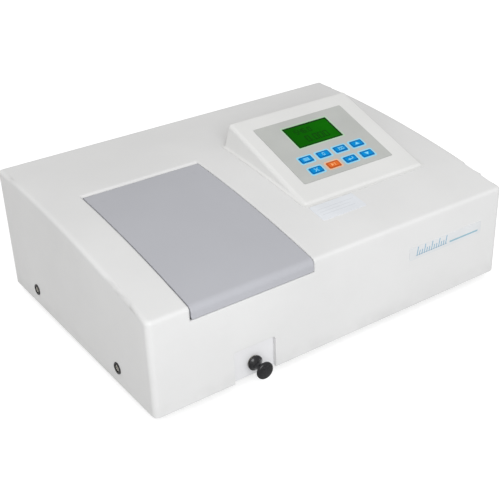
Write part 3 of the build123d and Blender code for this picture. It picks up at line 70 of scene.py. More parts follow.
class Shader:
    """A Principled material and the few node patterns that every surface here is made of."""

    # sockets of the mix node: its two inputs and its result, for colours and for vectors
    COLOUR_A, COLOUR_B, COLOUR_OUT = 6, 7, 2
    VECTOR_A, VECTOR_B, VECTOR_OUT = 4, 5, 1

    def __init__(self, name, roughness=0.5, metallic=0.0):
        self.material = bpy.data.materials.new(name)
        self.material.use_nodes = True
        self.tree = self.material.node_tree
        self.bsdf = self.tree.nodes["Principled BSDF"]
        self.bsdf.inputs["Roughness"].default_value = roughness
        self.bsdf.inputs["Metallic"].default_value = metallic
        self.coords = self.node("ShaderNodeTexCoord").outputs["Object"]
        self.normal = None

    def node(self, kind, **settings):
        made = self.tree.nodes.new(kind)
        for key, value in settings.items():
            setattr(made, key, value)
        return made

    def link(self, source, target):
        if isinstance(source, (int, float, tuple)):
            target.default_value = source
        else:
            self.tree.links.new(source, target)

    def math(self, operation, a, b=0.0):
        made = self.node("ShaderNodeMath", operation=operation)
        self.link(a, made.inputs[0])
        self.link(b, made.inputs[1])
        return made.outputs[0]

    def product(self, first, second):
        return self.math("MULTIPLY", first, second)

    def noise(self, size, detail=3.0, roughness=0.55, stretch=(1, 1, 1)):
        """Smooth noise, 0 to 1, whose patches are about size metres across."""
        place = self.node("ShaderNodeMapping")
        place.inputs["Scale"].default_value = stretch
        self.link(self.coords, place.inputs["Vector"])
        made = self.node("ShaderNodeTexNoise")
        made.inputs["Scale"].default_value = 1 / size
        made.inputs["Detail"].default_value = detail
        made.inputs["Roughness"].default_value = roughness
        self.link(place.outputs["Vector"], made.inputs["Vector"])
        return made.outputs["Fac"]

    def spots(self, size):
        """Distance to the nearest of scattered points, for specks and pads."""
        made = self.node("ShaderNodeTexVoronoi")
        made.inputs["Scale"].default_value = 1 / size
        self.link(self.coords, made.inputs["Vector"])
        return made.outputs["Distance"]

    def ramp(self, value, low, high, to_low=0.0, to_high=1.0):
        """A smooth step from to_low to to_high as value goes from low to high."""
        made = self.node("ShaderNodeMapRange", interpolation_type="SMOOTHSTEP")
        settings = {"From Min": low, "From Max": high, "To Min": to_low, "To Max": to_high}
        for key, setting in settings.items():
            made.inputs[key].default_value = setting
        self.link(value, made.inputs["Value"])
        return made.outputs["Result"]

    def mix(self, factor, first, second):
        made = self.node("ShaderNodeMix", data_type="RGBA")
        self.link(factor, made.inputs["Factor"])
        self.link(first, made.inputs[self.COLOUR_A])
        self.link(second, made.inputs[self.COLOUR_B])
        return made.outputs[self.COLOUR_OUT]

    def axis(self, name):
        made = self.node("ShaderNodeSeparateXYZ")
        self.link(self.coords, made.inputs[0])
        return made.outputs[name]

    def edges(self, radius):
        """1 on edges that hands and cloths rub, 0 on open faces."""
        bevel = self.node("ShaderNodeBevel", samples=4)
        bevel.inputs["Radius"].default_value = radius
        plain = self.node("ShaderNodeNewGeometry").outputs["Normal"]
        dot = self.node("ShaderNodeVectorMath", operation="DOT_PRODUCT")
        self.link(bevel.outputs["Normal"], dot.inputs[0])
        self.link(plain, dot.inputs[1])
        open_face, full_edge = 0.995, 0.90  # cosines between the rounded and the plain normal
        return self.ramp(dot.outputs["Value"], open_face, full_edge)

    def round_edges(self, radius, above=None):
        """Softens the shading of sharp edges, everywhere or only above a height."""
        bevel = self.node("ShaderNodeBevel", samples=8)
        bevel.inputs["Radius"].default_value = radius
        self.normal = bevel.outputs["Normal"]
        if above is not None:
            blend = self.node("ShaderNodeMix", data_type="VECTOR")
            self.link(self.ramp(self.axis("Z"), above, above + 0.01), blend.inputs["Factor"])
            plain = self.node("ShaderNodeNewGeometry").outputs["Normal"]
            self.link(plain, blend.inputs[self.VECTOR_A])
            self.link(self.normal, blend.inputs[self.VECTOR_B])
            self.normal = blend.outputs[self.VECTOR_OUT]

    def bump(self, height, distance, strength=1.0):
        made = self.node("ShaderNodeBump")
        made.inputs["Distance"].default_value = distance
        made.inputs["Strength"].default_value = strength
        self.link(height, made.inputs["Height"])
        if self.normal is not None:
            self.link(self.normal, made.inputs["Normal"])
        self.normal = made.outputs["Normal"]

    def finish(self, colour, roughness=None):
        self.link(colour, self.bsdf.inputs["Base Color"])
        if roughness is not None:
            self.link(roughness, self.bsdf.inputs["Roughness"])
        if self.normal is not None:
            self.link(self.normal, self.bsdf.inputs["Normal"])
        return self.material


# ---------------------------------------------------------------- materials
def enamel(
    name, colour, peel=0.00006, gloss=0.42, dirt=0.03, dusty_from=None, softness=0.0005, soft_above=None
):
    """Sprayed satin enamel: orange peel, faint clouding, specks, handling haze and dust low down."""
    s = Shader(name)
    s.round_edges(softness, soft_above)
    s.bump(s.noise(0.0016, 2), peel, 0.35)
    s.bump(s.noise(0.05, 2), 0.0004, 0.10)
    cloud = s.noise(0.16, 4)
    tint = s.mix(s.ramp(cloud, 0.3, 0.7), shade(colour, 1 - dirt), shade(colour, 1 + dirt * 0.6))
    specks = s.product(s.ramp(s.spots(0.006), 0.05, 0.02), s.ramp(s.noise(0.02), 0.62, 0.72))
    tint = s.mix(s.product(specks, 0.25), tint, shade(colour, 0.55))
    rub = s.product(s.edges(0.0015), s.ramp(s.noise(0.012), 0.42, 0.65))
    tint = s.mix(s.product(rub, 0.30), tint, shade(colour, 1.08))
    if dusty_from is not None:
        low = s.ramp(s.axis("Z"), dusty_from + 0.022, dusty_from)
        dust = s.product(low, s.ramp(s.noise(0.03, 5), 0.35, 0.7))
        tint = s.mix(s.product(dust, 0.22), tint, shade(colour, 0.70))
    haze = s.ramp(s.noise(0.045, 5), 0.35, 0.75, gloss - 0.05, gloss + 0.12)
    s.bsdf.inputs["Specular IOR Level"].default_value = 0.3
    return s.finish(tint, haze)


def moulded(name, colour, grain=0.0008, gloss=0.5, depth=0.00006):
    """Spark-textured moulding: fine grain, cloudy gloss, edges polished by handling."""
    s = Shader(name)
    s.round_edges(0.0003)
    s.bump(s.noise(grain, 2, 0.7), depth, 0.6)
    cloud = s.noise(0.03, 4)
    tint = s.mix(s.ramp(cloud, 0.3, 0.7), shade(colour, 0.88), shade(colour, 1.12))
    rub = s.product(s.edges(0.0008), s.ramp(s.noise(0.006), 0.35, 0.65))
    tint = s.mix(s.product(rub, 0.35), tint, shade(colour, 1.6))
    shine = s.ramp(s.noise(0.012, 4), 0.3, 0.7, gloss - 0.08, gloss + 0.1)
    return s.finish(tint, shine)


def metal(name, colour, along=(1, 1, 1), roughness=0.28, depth=0.00002, patina=0.12):
    """Drawn or turned metal: fine lines, patchy lustre and duller hollows."""
    s = Shader(name, metallic=1.0)
    s.round_edges(0.00025)
    lines = s.noise(0.0005, 2, 0.6, stretch=along)
    s.bump(lines, depth, 0.6)
    cloud = s.noise(0.02, 4)
    tint = s.mix(s.ramp(cloud, 0.3, 0.7), shade(colour, 1 - patina), shade(colour, 1 + patina * 0.5))
    tint = s.mix(s.product(s.edges(0.0006), 0.4), tint, shade(colour, 1.25))
    lustre = s.ramp(cloud, 0.3, 0.7, roughness - 0.04, roughness + 0.08)
    return s.finish(tint, s.math("ADD", s.ramp(lines, 0.3, 0.7, 0, 0.10), lustre))


def rubber(name, colour):
    """Matt black elastomer with pale dust on it."""
    s = Shader(name)
    s.round_edges(0.0004)
    s.bump(s.noise(0.0007, 3), 0.0001, 0.7)
    dust = s.ramp(s.noise(0.01, 5), 0.45, 0.75)
    tint = s.mix(s.product(dust, 0.35), colour, shade(colour, 3.0))
    return s.finish(tint, s.ramp(s.noise(0.008), 0.3, 0.7, 0.68, 0.9))


def flock(name, colour):
    """Short black pile that swallows stray light."""
    s = Shader(name)
    s.bump(s.noise(0.0004, 4, 0.8), 0.0004, 1.0)
    s.bsdf.inputs["Sheen Weight"].default_value = 0.15
    tint = s.mix(s.noise(0.0015, 4), shade(colour, 0.6), shade(colour, 1.7))
    return s.finish(tint, 0.95)


def film(name, colour, sheen=0.12):
    """Screen-printed polyester: very fine pebbling and ink mottle."""
    gloss = 0.45
    s = Shader(name)
    s.bsdf.inputs["Specular IOR Level"].default_value = sheen
    s.bump(s.noise(0.0005, 2, 0.7), 0.00003, 0.6)
    cloud = s.noise(0.04, 4)
    tint = s.mix(s.ramp(cloud, 0.3, 0.7), shade(colour, 0.965), shade(colour, 1.03))
    tint = s.mix(s.product(s.noise(0.0009, 2), 0.12), tint, shade(colour, 0.8))
    return s.finish(tint, s.ramp(s.noise(0.02, 4), 0.3, 0.7, gloss - 0.05, gloss + 0.12))


def clear(name, colour):
    """Polished glass with a trace of dust."""
    roughness, ior = 0.03, 1.5
    s = Shader(name, roughness)
    s.bsdf.inputs["Transmission Weight"].default_value = 1.0
    s.bsdf.inputs["IOR"].default_value = ior
    dust = s.ramp(s.noise(0.003, 5), 0.5, 0.8, roughness, roughness + 0.12)
    return s.finish(s.mix(s.noise(0.01), colour, shade(colour, 0.96)), dust)


def circuit(name, colour):
    """Green solder mask with copper tracks under it and drilled pads."""
    pitch, track_share = 0.0051, 0.28
    s = Shader(name)
    across = s.math("FRACT", s.product(s.axis("X"), 1 / pitch))
    tracks = s.math("LESS_THAN", across, track_share)
    broken = s.math("GREATER_THAN", s.noise(0.018, 1, stretch=(1, 0.25, 1)), 0.5)
    under = s.product(tracks, broken)
    s.bump(under, 0.00003, 0.8)
    tint = s.mix(s.product(under, 0.6), colour, shade(colour, 2.4))
    pads = s.ramp(s.spots(0.0042), 0.16, 0.12)
    tint = s.mix(s.product(pads, 0.8), tint, srgb(190, 176, 120))
    return s.finish(tint, s.ramp(s.noise(0.02), 0.3, 0.7, 0.25, 0.4))


def lcd_material():
    """Backlit green liquid-crystal glass: faint cell grid, brighter towards the backlight's end."""
    cell, line_share = 0.0007, 0.12
    s = Shader("lcd_glass")
    s.bsdf.inputs["Specular IOR Level"].default_value = 0.015
    s.bump(s.noise(0.004, 2), 0.00001, 0.3)
    across = [s.math("FRACT", s.product(s.axis(name), 1 / cell)) for name in "XY"]
    grid = [s.math("LESS_THAN", place, line_share) for place in across]
    base, lit = srgb(8, 84, 1), srgb(12, 98, 2)
    low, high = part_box("lcd_module")
    tint = s.mix(s.ramp(s.axis("X"), low.x, high.x), base, lit)
    tint = s.mix(s.product(s.math("MAXIMUM", *grid), 0.25), tint, shade(base, 0.7))
    tint = s.mix(s.ramp(s.noise(0.015, 3), 0.3, 0.8, 0, 0.35), tint, shade(base, 0.75))
    s.link(tint, s.bsdf.inputs["Emission Color"])
    s.bsdf.inputs["Emission Strength"].default_value = 0.2
    return s.finish(tint, s.ramp(s.noise(0.02), 0.3, 0.7, 0.25, 0.4))


MATERIALS = {
    "top_cover": enamel(
        "cover_enamel", srgb(226, 226, 226), dusty_from=BOTTOM_Z, softness=0.0035, soft_above=BOTTOM_Z + 0.09
    ),
    "console_shell": enamel("console_enamel", srgb(225, 225, 224), peel=0.00005, softness=0.0006),
    "sample_lid": enamel(
        "lid_enamel", srgb(182, 183, 189), peel=0.00007, gloss=0.40, dirt=0.025, softness=0.0015
    ),
    # painted light: the plate's enamel is set lighter than the cover's same paint, to make up for the shade
    # in its recess
    "rod_guide_plate": enamel("guide_plate_enamel", srgb(234, 234, 236)),
    "base_tray": enamel("tray_powder_coat", srgb(205, 206, 204), peel=0.0001, gloss=0.5),
    "rear_panel": enamel("panel_powder_coat", srgb(212, 213, 210), peel=0.0001, gloss=0.5),
    "rubber_feet": rubber("foot_rubber", srgb(30, 30, 31)),
    "rim_gasket": rubber("gasket_foam", srgb(22, 22, 23)),
    "foot_screws": metal("foot_screw_steel", srgb(190, 190, 188)),
    "cover_screws": metal("cover_screw_nickel", srgb(214, 210, 200), roughness=0.24),
    "cover_screw_cups": moulded("cup_moulding", srgb(26, 26, 27), gloss=0.4),
    "lid_liner": flock("liner_flock", srgb(24, 24, 26)),
    "hinge_pins": metal("pin_steel", srgb(200, 200, 202), along=(0.1, 1, 1)),
    "sample_tub": moulded("tub_moulding", srgb(36, 36, 39), gloss=0.6),
    "guide_rods": metal("guide_rod_steel", srgb(205, 205, 208), along=(1, 0.1, 1), roughness=0.18),
    "pull_rod": metal("pull_rod_steel", srgb(214, 214, 216), along=(1, 0.1, 1), roughness=0.14),
    "cell_carriage": metal("carriage_anodised", srgb(62, 62, 66), roughness=0.42),
    "cell_holder": metal("holder_anodised", srgb(52, 52, 56), roughness=0.45),
    "cuvette_springs": metal("spring_strip", srgb(205, 200, 188), along=(1, 1, 0.1)),
    "pull_knob": moulded("knob_phenolic", srgb(17, 16, 20), grain=0.002, gloss=0.2, depth=0.00002),
    "rod_bush": metal("bush_nickel_plate", srgb(176, 174, 166)),
    "detector_housing": metal("detector_alloy", srgb(176, 178, 182), roughness=0.36),
    "photodiode": circuit("amplifier_board", srgb(20, 92, 52)),
    "mono_housing": moulded("mono_casting", srgb(48, 48, 50), grain=0.0015, gloss=0.6, depth=0.0002),
    "mono_cover": moulded("mono_lid_paint", srgb(46, 46, 48), grain=0.001, gloss=0.55),
    "slit_plates": metal("slit_steel", srgb(120, 124, 134), roughness=0.3),
    "concave_mirrors": metal("aluminised_glass", srgb(236, 237, 240), roughness=0.06, patina=0.02),
    "optic_mounts": metal("mount_anodised", srgb(54, 54, 58), roughness=0.45),
    "lenses": clear("optical_glass", srgb(244, 250, 252)),
    "grating": metal("ruled_grating", srgb(206, 196, 220), along=(1, 1, 0.02), roughness=0.2, depth=0.0001),
    "grating_table": metal("sector_brass", srgb(190, 158, 92)),
    "motor_pinion": metal("pinion_brass", srgb(200, 168, 100), along=(1, 1, 0.1)),
    "stepper_motors": metal("motor_can", srgb(112, 113, 118), roughness=0.4),
    "lamp_house": metal("lamp_house_zinc", srgb(168, 170, 172), roughness=0.45, patina=0.2),
    "lamp_socket": moulded("socket_steatite", srgb(226, 220, 206), grain=0.001, gloss=0.3),
    "halogen_lamp": clear("quartz_bulb", srgb(250, 250, 252)),
    "filter_wheel": metal("wheel_anodised", srgb(52, 52, 56), roughness=0.42),
    "order_filters": clear("filter_glass", srgb(232, 160, 60)),
    "keypad_overlay": film("overlay_print", srgb(188, 190, 187)),
    "lcd_module": lcd_material(),
    "keypad_board": circuit("key_board_mask", srgb(20, 92, 52)),
    "main_board": circuit("main_board_mask", srgb(18, 88, 50)),
    "mains_inlet": moulded("inlet_moulding", srgb(32, 32, 34), gloss=0.45),
    "fuse_drawer": moulded("fuse_drawer_moulding", srgb(40, 40, 42), gloss=0.5),
    "power_rocker": moulded("rocker_moulding", srgb(28, 28, 30), gloss=0.25, depth=0.00001),
    "serial_port": metal("port_shell", srgb(198, 200, 204), roughness=0.3),
    "fan_frame": moulded("fan_frame_moulding", srgb(34, 34, 36), gloss=0.5),
    "fan_rotor": moulded("fan_rotor_moulding", srgb(30, 30, 32), gloss=0.45),
    "power_supply": metal("supply_zinc", srgb(180, 182, 184), roughness=0.4, patina=0.2),
    "display_ribbon": moulded("ribbon_jacket", srgb(158, 160, 166), grain=0.001, gloss=0.5),
    "front_label": film("name_plate_print", srgb(224, 226, 228)),
    "top_label": film("sticker_vinyl", srgb(226, 229, 234)),
}


def key_ink(name, colour):
    """Print on and round the keys, duller than the rest of the overlay."""
    return film(name, colour, sheen=0.04)


BLUE_KEY = key_ink("key_blue_print", srgb(0, 140, 214))
ORANGE_KEY = key_ink("key_orange_print", srgb(224, 112, 48))
for key in KEYS:
    MATERIALS[key] = ORANGE_KEY if key == "key_start" else BLUE_KEY


def paint(obj, material):
    obj.data.materials.clear()
    obj.data.materials.append(material)


for node, material in MATERIALS.items():
    paint(NODES[node], material)


# ---------------------------------------------------------------- mesh helpers
def plane(origin, normal, x_dir=(1, 0, 0)):
    """Local frame on a surface: x along x_dir, z along the outward normal."""
    z = Vector(normal).normalized()
    x = (Vector(x_dir) - z * z.dot(Vector(x_dir))).normalized()
    turn = Matrix((x, z.cross(x), z)).transposed()
    return Matrix.Translation(origin) @ turn.to_4x4()


def face_plane(node, towards, x_dir=(1, 0, 0), depth=0.2 * MM, keep=lambda centre: True):
    """Local frame at the middle of a node's outermost faces that look towards a direction.

    Faces count down to depth under the outermost one, and only where keep allows their centre.
    """
    facing = 0.94  # cosine of the widest turn from the direction
    towards = Vector(towards).normalized()
    faces = [p for p in NODES[node].data.polygons if p.normal.dot(towards) > facing and keep(p.center)]
    reach = max(p.center.dot(towards) for p in faces)
    faces = [p for p in faces if p.center.dot(towards) > reach - depth]
    area = sum(p.area for p in faces)
    middle = sum((p.center * p.area for p in faces), Vector()) / area
    return plane(middle, sum((p.normal * p.area for p in faces), Vector()), x_dir)


def piece(name, build, material, body="chassis"):
    """New object from the faces that build adds, in the frame's own metres, riding on body."""
    bm = bmesh.new()
    build(bm)
    bmesh.ops.recalc_face_normals(bm, faces=bm.faces)
    mesh = bpy.data.meshes.new(name)
    bm.to_mesh(mesh)
    bm.free()
    made = bpy.data.objects.new(name, mesh)
    bpy.context.scene.collection.objects.link(made)
    paint(made, material)
    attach(made, body)
    return made


def prism(bm, outline, at, height=PRINT_T):
    """Flat shape that stands height proud of the plane at."""
    low = [bm.verts.new(at @ Vector((x, y, -PRINT_T))) for x, y in outline]
    high = [bm.verts.new(at @ Vector((x, y, height))) for x, y in outline]
    bm.faces.new(low)
    bm.faces.new(high)
    for n in range(len(outline)):
        bm.faces.new((low[n - 1], low[n], high[n], high[n - 1]))


def ring(bm, outer, inner, at):
    """Flat band of ink, or of painted light or shade, between two outlines of the same number of points."""
    section = ((outer, -PRINT_T), (outer, PRINT_T), (inner, PRINT_T), (inner, -PRINT_T))
    loops = [[bm.verts.new(at @ Vector((x, y, z))) for x, y in outline] for outline, z in section]
    for first, second in zip(loops, loops[1:] + loops[:1]):
        for n in range(len(first)):
            bm.faces.new((first[n - 1], first[n], second[n], second[n - 1]))


def turned(bm, at, rings):
    """Turned or hexagonal head from rings of (radius, height, is_hexagon), closed at its middle."""
    steps = 24
    loops = []
    for radius, height, is_hexagon in rings:
        loop = []
        for n in range(steps):
            turn = math.tau * n / steps
            reach = radius
            if is_hexagon:
                reach = radius * math.cos(math.pi / 6) / math.cos(turn % (math.pi / 3) - math.pi / 6)
            place = Vector((reach * math.cos(turn), reach * math.sin(turn), height))
            loop.append(bm.verts.new(at @ place))
        loops.append(loop)
    for first, second in zip(loops, loops[1:]):
        for n in range(steps):
            bm.faces.new((first[n - 1], first[n], second[n], second[n - 1]))
    bm.faces.new(loops[0])
    bm.faces.new(loops[-1])


def rounded_rect(width, height, radius):
    """Outline of a rectangle with round corners, about its middle."""
    steps = 5
    points = []
    for corner, (sx, sy) in enumerate(((1, 1), (-1, 1), (-1, -1), (1, -1))):
        for n in range(steps + 1):
            turn = math.pi / 2 * (corner + n / steps)
            x = sx * (width / 2 - radius) + radius * math.cos(turn)
            y = sy * (height / 2 - radius) + radius * math.sin(turn)
            points.append((x, y))
    return points


def stroke(start, end, width):
    """Outline of a straight pen stroke with square ends."""
    along = (Vector(end) - Vector(start)).normalized() * width / 2
    side = Vector((-along.y, along.x))
    first, last = Vector(start) - along, Vector(end) + along
    return [tuple(p) for p in (first - side, last - side, last + side, first + side)]


def circle(radius):
    steps = 24
    turns = [math.tau * n / steps for n in range(steps)]
    return [(radius * math.cos(turn), radius * math.sin(turn)) for turn in turns]


# ---------------------------------------------------------------- prints on the console, with painted highlight and shade round the display
# seven-segment digits: the bars of the eight-shape that each digit lights
SEGMENTS = {"0": "abcdef", "1": "bc", "4": "bcfg", "5": "acdfg", "6": "acdefg"}
# ends of each bar, in digit widths across and half heights up from the foot
BARS = {
    "a": ((0, 2), (1, 2)),
    "b": ((1, 1), (1, 2)),
    "c": ((1, 0), (1, 1)),
    "d": ((0, 0), (1, 0)),
    "e": ((0, 0), (0, 1)),
    "f": ((0, 1), (0, 2)),
    "g": ((0, 1), (1, 1)),
}


def digits(text, width, height, pen, middle=(0, 0)):
    """Strokes of a number in seven-segment digits, centred on middle."""
    gap = 0.55  # between digits, in digit widths
    point_share = 0.45  # room of a decimal point, in pitches
    pitch = width * (1 + gap)
    advances = [pitch * point_share if mark == "." else pitch for mark in text]
    x = middle[0] - (sum(advances) - width * gap) / 2
    shapes = []
    foot = middle[1] - height / 2
    for mark, advance in zip(text, advances):
        if mark == ".":
            shapes.append(stroke((x, foot), (x + pen / 10, foot), pen))
        for bar in SEGMENTS.get(mark, ""):
            ends = [(x + i * width, middle[1] + (j - 1) * height / 2) for i, j in BARS[bar]]
            shapes.append(stroke(*ends, pen))
        x += advance
    return shapes


def key_legends():
    """Generic marks for the eight keys, in metres about each key's middle."""
    unit, pen = 1.35 * MM, 1.0 * MM

    def area(*points):
        return [(x * unit, y * unit) for x, y in points]

    def line(start, end):
        return stroke(*area(start, end), pen)

    return {
        "key_mode": [line((-2.6, y), (2.6, y)) for y in (-1.3, 0, 1.3)],
        "key_zero": digits("0", 1.9 * unit, 3.0 * unit, pen * 0.8),
        "key_full": digits("100", 1.6 * unit, 3.0 * unit, pen * 0.8),
        "key_up": [area((-2.4, -1.4), (2.4, -1.4), (0, 1.9))],
        "key_down": [area((2.4, 1.4), (-2.4, 1.4), (0, -1.9))],
        "key_clear": [line((-1.7, -1.7), (1.7, 1.7)), line((-1.7, 1.7), (1.7, -1.7))],
        "key_start": [area((-2.6, -1.8), (0.2, 0), (-2.6, 1.8)), line((1.3, -1.3), (1.3, 1.3))],
        "key_enter": [
            line((2.6, 1.6), (2.6, -0.5)),
            line((2.6, -0.5), (-1.2, -0.5)),
            area((-1.0, -1.9), (-1.0, 0.9), (-2.9, -0.5)),
        ],
    }


def panel_normal():
    """The keys press straight into the console, so its normal is their direction reversed."""
    axis = next(j["axis"] for j in frame["joints"] if j["name"] == "key_mode_press")
    return -Vector(axis).normalized()


def add_shapes(shapes, at, height=PRINT_T):
    """Builder of one piece of ink from several outlines."""
    def build(bm):
        for outline in shapes:
            prism(bm, outline, at, height)
    return build


def on_overlay(overlay, place):
    """The overlay's own plane, moved to lie under a place."""
    spot = overlay.inverted() @ place
    return overlay @ Matrix.Translation((spot.x, spot.y, 0))


def key_inks(colour, legend, border, surround):
    """The three inks of a key: its mark, its darker border and the pale print round it."""
    return (
        key_ink(f"legend_{colour}_ink", legend),
        key_ink(f"key_border_{colour}_ink", border),
        key_ink(f"key_surround_{colour}_ink", surround),
    )


def console_prints():
    """Each key's legend and border, and the pale surround on the overlay beside it."""
    normal = panel_normal()
    overlay = face_plane("keypad_overlay", normal)
    blue = key_inks("blue", srgb(130, 216, 255), srgb(8, 100, 168), srgb(152, 216, 240))
    orange = key_inks("orange", srgb(255, 176, 118), srgb(190, 84, 30), srgb(234, 190, 158))
    legends = key_legends()
    key_w, key_l = KEY_SIZE
    inset = 0.15 * MM  # bare edge outside the printed border
    border_outer = rounded_rect(key_w - 2 * inset, key_l - 2 * inset, 1.4 * MM)
    border_inner = rounded_rect(key_w - 2 * KEY_BORDER, key_l - 2 * KEY_BORDER, 1.4 * MM)
    halo_outer = rounded_rect(key_w + 2 * HALO_W, key_l + 2 * HALO_W, 2.6 * MM)
    halo_inner = rounded_rect(key_w + KEY_GAP, key_l + KEY_GAP, 1.6 * MM)
    for key in KEYS:
        mark, border, surround = orange if key == "key_start" else blue
        top = face_plane(key, normal)
        at = on_overlay(overlay, top.translation)
        piece("print_" + key, add_shapes(legends[key], top), mark, body=key)
        piece("border_" + key, lambda bm: ring(bm, border_outer, border_inner, top), border, body=key)
        piece("surround_" + key, lambda bm: ring(bm, halo_outer, halo_inner, at), surround)


def lcd_outline(growth, radius):
    """Rounded outline of the display's glass, grown or shrunk."""
    width, height = LCD_SIZE
    return rounded_rect(width + growth, height + growth, radius)


def display_prints_and_painted_light():
    """Painted highlight round the window, painted bezel shadow on the glass's edge, and a reading of two
    numbers.
    """
    normal = panel_normal()
    glass = face_plane("lcd_module", normal)
    window = on_overlay(face_plane("keypad_overlay", normal), glass.translation)
    rim_highlight_outer, rim_highlight_inner = lcd_outline(3.2 * MM, 1.0 * MM), lcd_outline(0.1 * MM, 0.3 * MM)
    bezel_shade_outer, bezel_shade_inner = lcd_outline(-0.6 * MM, 0.3 * MM), lcd_outline(-4.4 * MM, 0.8 * MM)
    # painted highlight: a pale green line on the overlay round the window, standing for the light that the
    # window's rim catches
    rim_highlight_ink = film("display_rim_highlight_ink", srgb(180, 214, 180))
    # painted shade: a dark green band on the glass's edge, standing for the bezel's shadow on it
    bezel_shade_ink = film("display_bezel_shade_ink", srgb(10, 62, 8), sheen=0.05)
    piece("display_rim_highlight", lambda bm: ring(bm, rim_highlight_outer, rim_highlight_inner, window), rim_highlight_ink)
    piece("display_bezel_shade", lambda bm: ring(bm, bezel_shade_outer, bezel_shade_inner, glass), bezel_shade_ink)
    rows = digits("546.0", 3.6 * MM, 7.0 * MM, 0.8 * MM, middle=(-9 * MM, 7.5 * MM))
    rows += digits("0.000", 5.0 * MM, 9.5 * MM, 1.0 * MM, middle=(2 * MM, -7 * MM))
    piece("display_digits", add_shapes(rows, glass), film("display_segments", srgb(9, 60, 5), sheen=0.05))


# ---------------------------------------------------------------- prints on the cover
def name_plate_prints():
    """A wavelength rule in place of a name: fine graduations, then a line of short dashes."""
    at = face_plane("front_label", (0, -1, 0))
    low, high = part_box("front_label")
    left = (low.x - high.x) / 2 + 11.5 * MM
    marks, pitch, foot, lean = 13, 3.7 * MM, -3.4 * MM, 0.16
    shapes = [stroke((left - 1.5 * MM, foot), (left + (marks - 0.5) * pitch, foot), 0.5 * MM)]
    for n in range(marks):
        rise = 10.0 * MM if n % 3 == 0 else 5.0 * MM
        x = left + n * pitch
        shapes.append(stroke((x, foot), (x + lean * rise, foot + rise), 1.0 * MM))
    piece("plate_rule", add_shapes(shapes, at), film("name_plate_ink", srgb(118, 172, 200)))
    dash, level = 3.5 * MM, -3.0 * MM
    starts = [left + (marks + 1) * pitch + n * dash for n in range(marks)]
    dashes = [stroke((x, level), (x + 0.4 * dash, level), 2.0 * MM) for x in starts]
    piece("plate_dashes", add_shapes(dashes, at), film("name_plate_pale_ink", srgb(150, 188, 202)))


def sticker_prints():
    """Faint ruled lines on the label that lies on the top of the cover."""
    at = face_plane("top_label", (0, -0.2, 1), depth=6 * MM)
    low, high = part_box("top_label")
    half = (high.x - low.x) / 2 - 6 * MM
    rows = ((5 * MM, 1.0), (0, 0.7), (-5 * MM, 0.85))
    lines = [stroke((-half, y), (half * reach, y), 0.7 * MM) for y, reach in rows]
    piece("sticker_lines", add_shapes(lines, at, 0.12 * MM), film("sticker_ink", srgb(214, 217, 221)))


# ---------------------------------------------------------------- hardware on the back
def on_back(x, y, z):
    """Local frame that looks out of the back at a place."""
    return plane((x, y, z), (0, 1, 0), (-1, 0, 0))


def panel_screws(steel):
    """Socket button screws of the rear panel and of the fan."""
    low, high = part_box("rear_panel")
    fan_low, fan_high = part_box("fan_frame")
    inset, fan_inset = 14 * MM, 5 * MM
    beside_port = 60 * MM  # the middle screws stand off the panel's middle by this much
    panel_x = (low.x + inset, (low.x + high.x) / 2 - beside_port, high.x - inset)
    fan_x = (fan_low.x + fan_inset, fan_high.x - fan_inset)
    spots = [(x, z) for x in panel_x for z in (low.z + inset, high.z - inset)]
    spots += [(x, z) for x in fan_x for z in (fan_low.z + fan_inset, fan_high.z - fan_inset)]
    head_r, head_h = 3.2 * MM, 1.8 * MM
    head = [
        (head_r, 0, False),
        (head_r, head_h * 0.3, False),
        (head_r * 0.88, head_h * 0.75, False),
        (head_r * 0.62, head_h, False),
        (head_r * 0.5, head_h, True),
        (head_r * 0.5, head_h * 0.3, True),
    ]

    def build(bm):
        for x, z in spots:
            turned(bm, on_back(x, high.y, z), head)

    piece("back_panel_screws", build, steel)


def port_posts(steel):
    """Hexagonal jack posts, each with a bore, at both ends of the data port."""
    low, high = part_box("serial_port")
    flange_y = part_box("rear_panel")[1].y + 1.0 * MM
    inset, hex_r, bore_r, length = 3.6 * MM, 2.7 * MM, 1.4 * MM, 5.0 * MM
    post = [
        (hex_r, 0, True),
        (hex_r, length - 0.4 * MM, True),
        (hex_r - 0.3 * MM, length, True),
        (bore_r, length, False),
        (bore_r, 1.0 * MM, False),
    ]

    def build(bm):
        for x in (low.x + inset, high.x - inset):
            turned(bm, on_back(x, flange_y, (low.z + high.z) / 2), post)

    piece("port_jack_posts", build, steel)


def rocker_marks():
    """The bar and ring that show a switch's on and off halves."""
    low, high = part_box("power_rocker")
    middle = (low.z + high.z) / 2
    white = film("rocker_mark_ink", srgb(225, 225, 222))
    outwards = {"towards": (0, 1, 0), "x_dir": (-1, 0, 0), "depth": 3 * MM}
    upper = face_plane("power_rocker", **outwards, keep=lambda centre: centre.z > middle)
    lower = face_plane("power_rocker", **outwards, keep=lambda centre: centre.z < middle)

    def build(bm):
        prism(bm, stroke((0, -1.8 * MM), (0, 1.8 * MM), 0.8 * MM), upper)
        ring(bm, circle(2.2 * MM), circle(1.5 * MM), lower)

    piece("rocker_symbols", build, white, body="rocker")


console_prints()
display_prints_and_painted_light()
name_plate_prints()
sticker_prints()
screw_steel = metal("panel_screw_steel", srgb(196, 196, 192), roughness=0.3)
panel_screws(screw_steel)
port_posts(screw_steel)
rocker_marks()


# ---------------------------------------------------------------- stage, light and camera
BRIGHT_SIDE = (-0.95, -1.0, 0.15)  # where the surroundings are brightest
WORLD_DIM, WORLD_BRIGHT = 0.48, 1.0
PAPER_LIFT = 0.62  # extra glow of the floor, seen only by the camera
SOFTBOX_AT, SOFTBOX_TARGET = (-0.66, -1.62, 0.97), (0, 0, 0.08)
SOFTBOX_SIZE, SOFTBOX_POWER = 1.0, 13.5
EYE_AZIMUTH, EYE_ELEVATION, EYE_ROLL = (math.radians(angle) for angle in (-34.018, 28.752, -2.141))
EYE_AIM, EYE_DISTANCE = Vector((-0.0139, -0.0043, 0.0560)), 1.1442
SENSOR_MM, LENS_MM = 36, 69.42


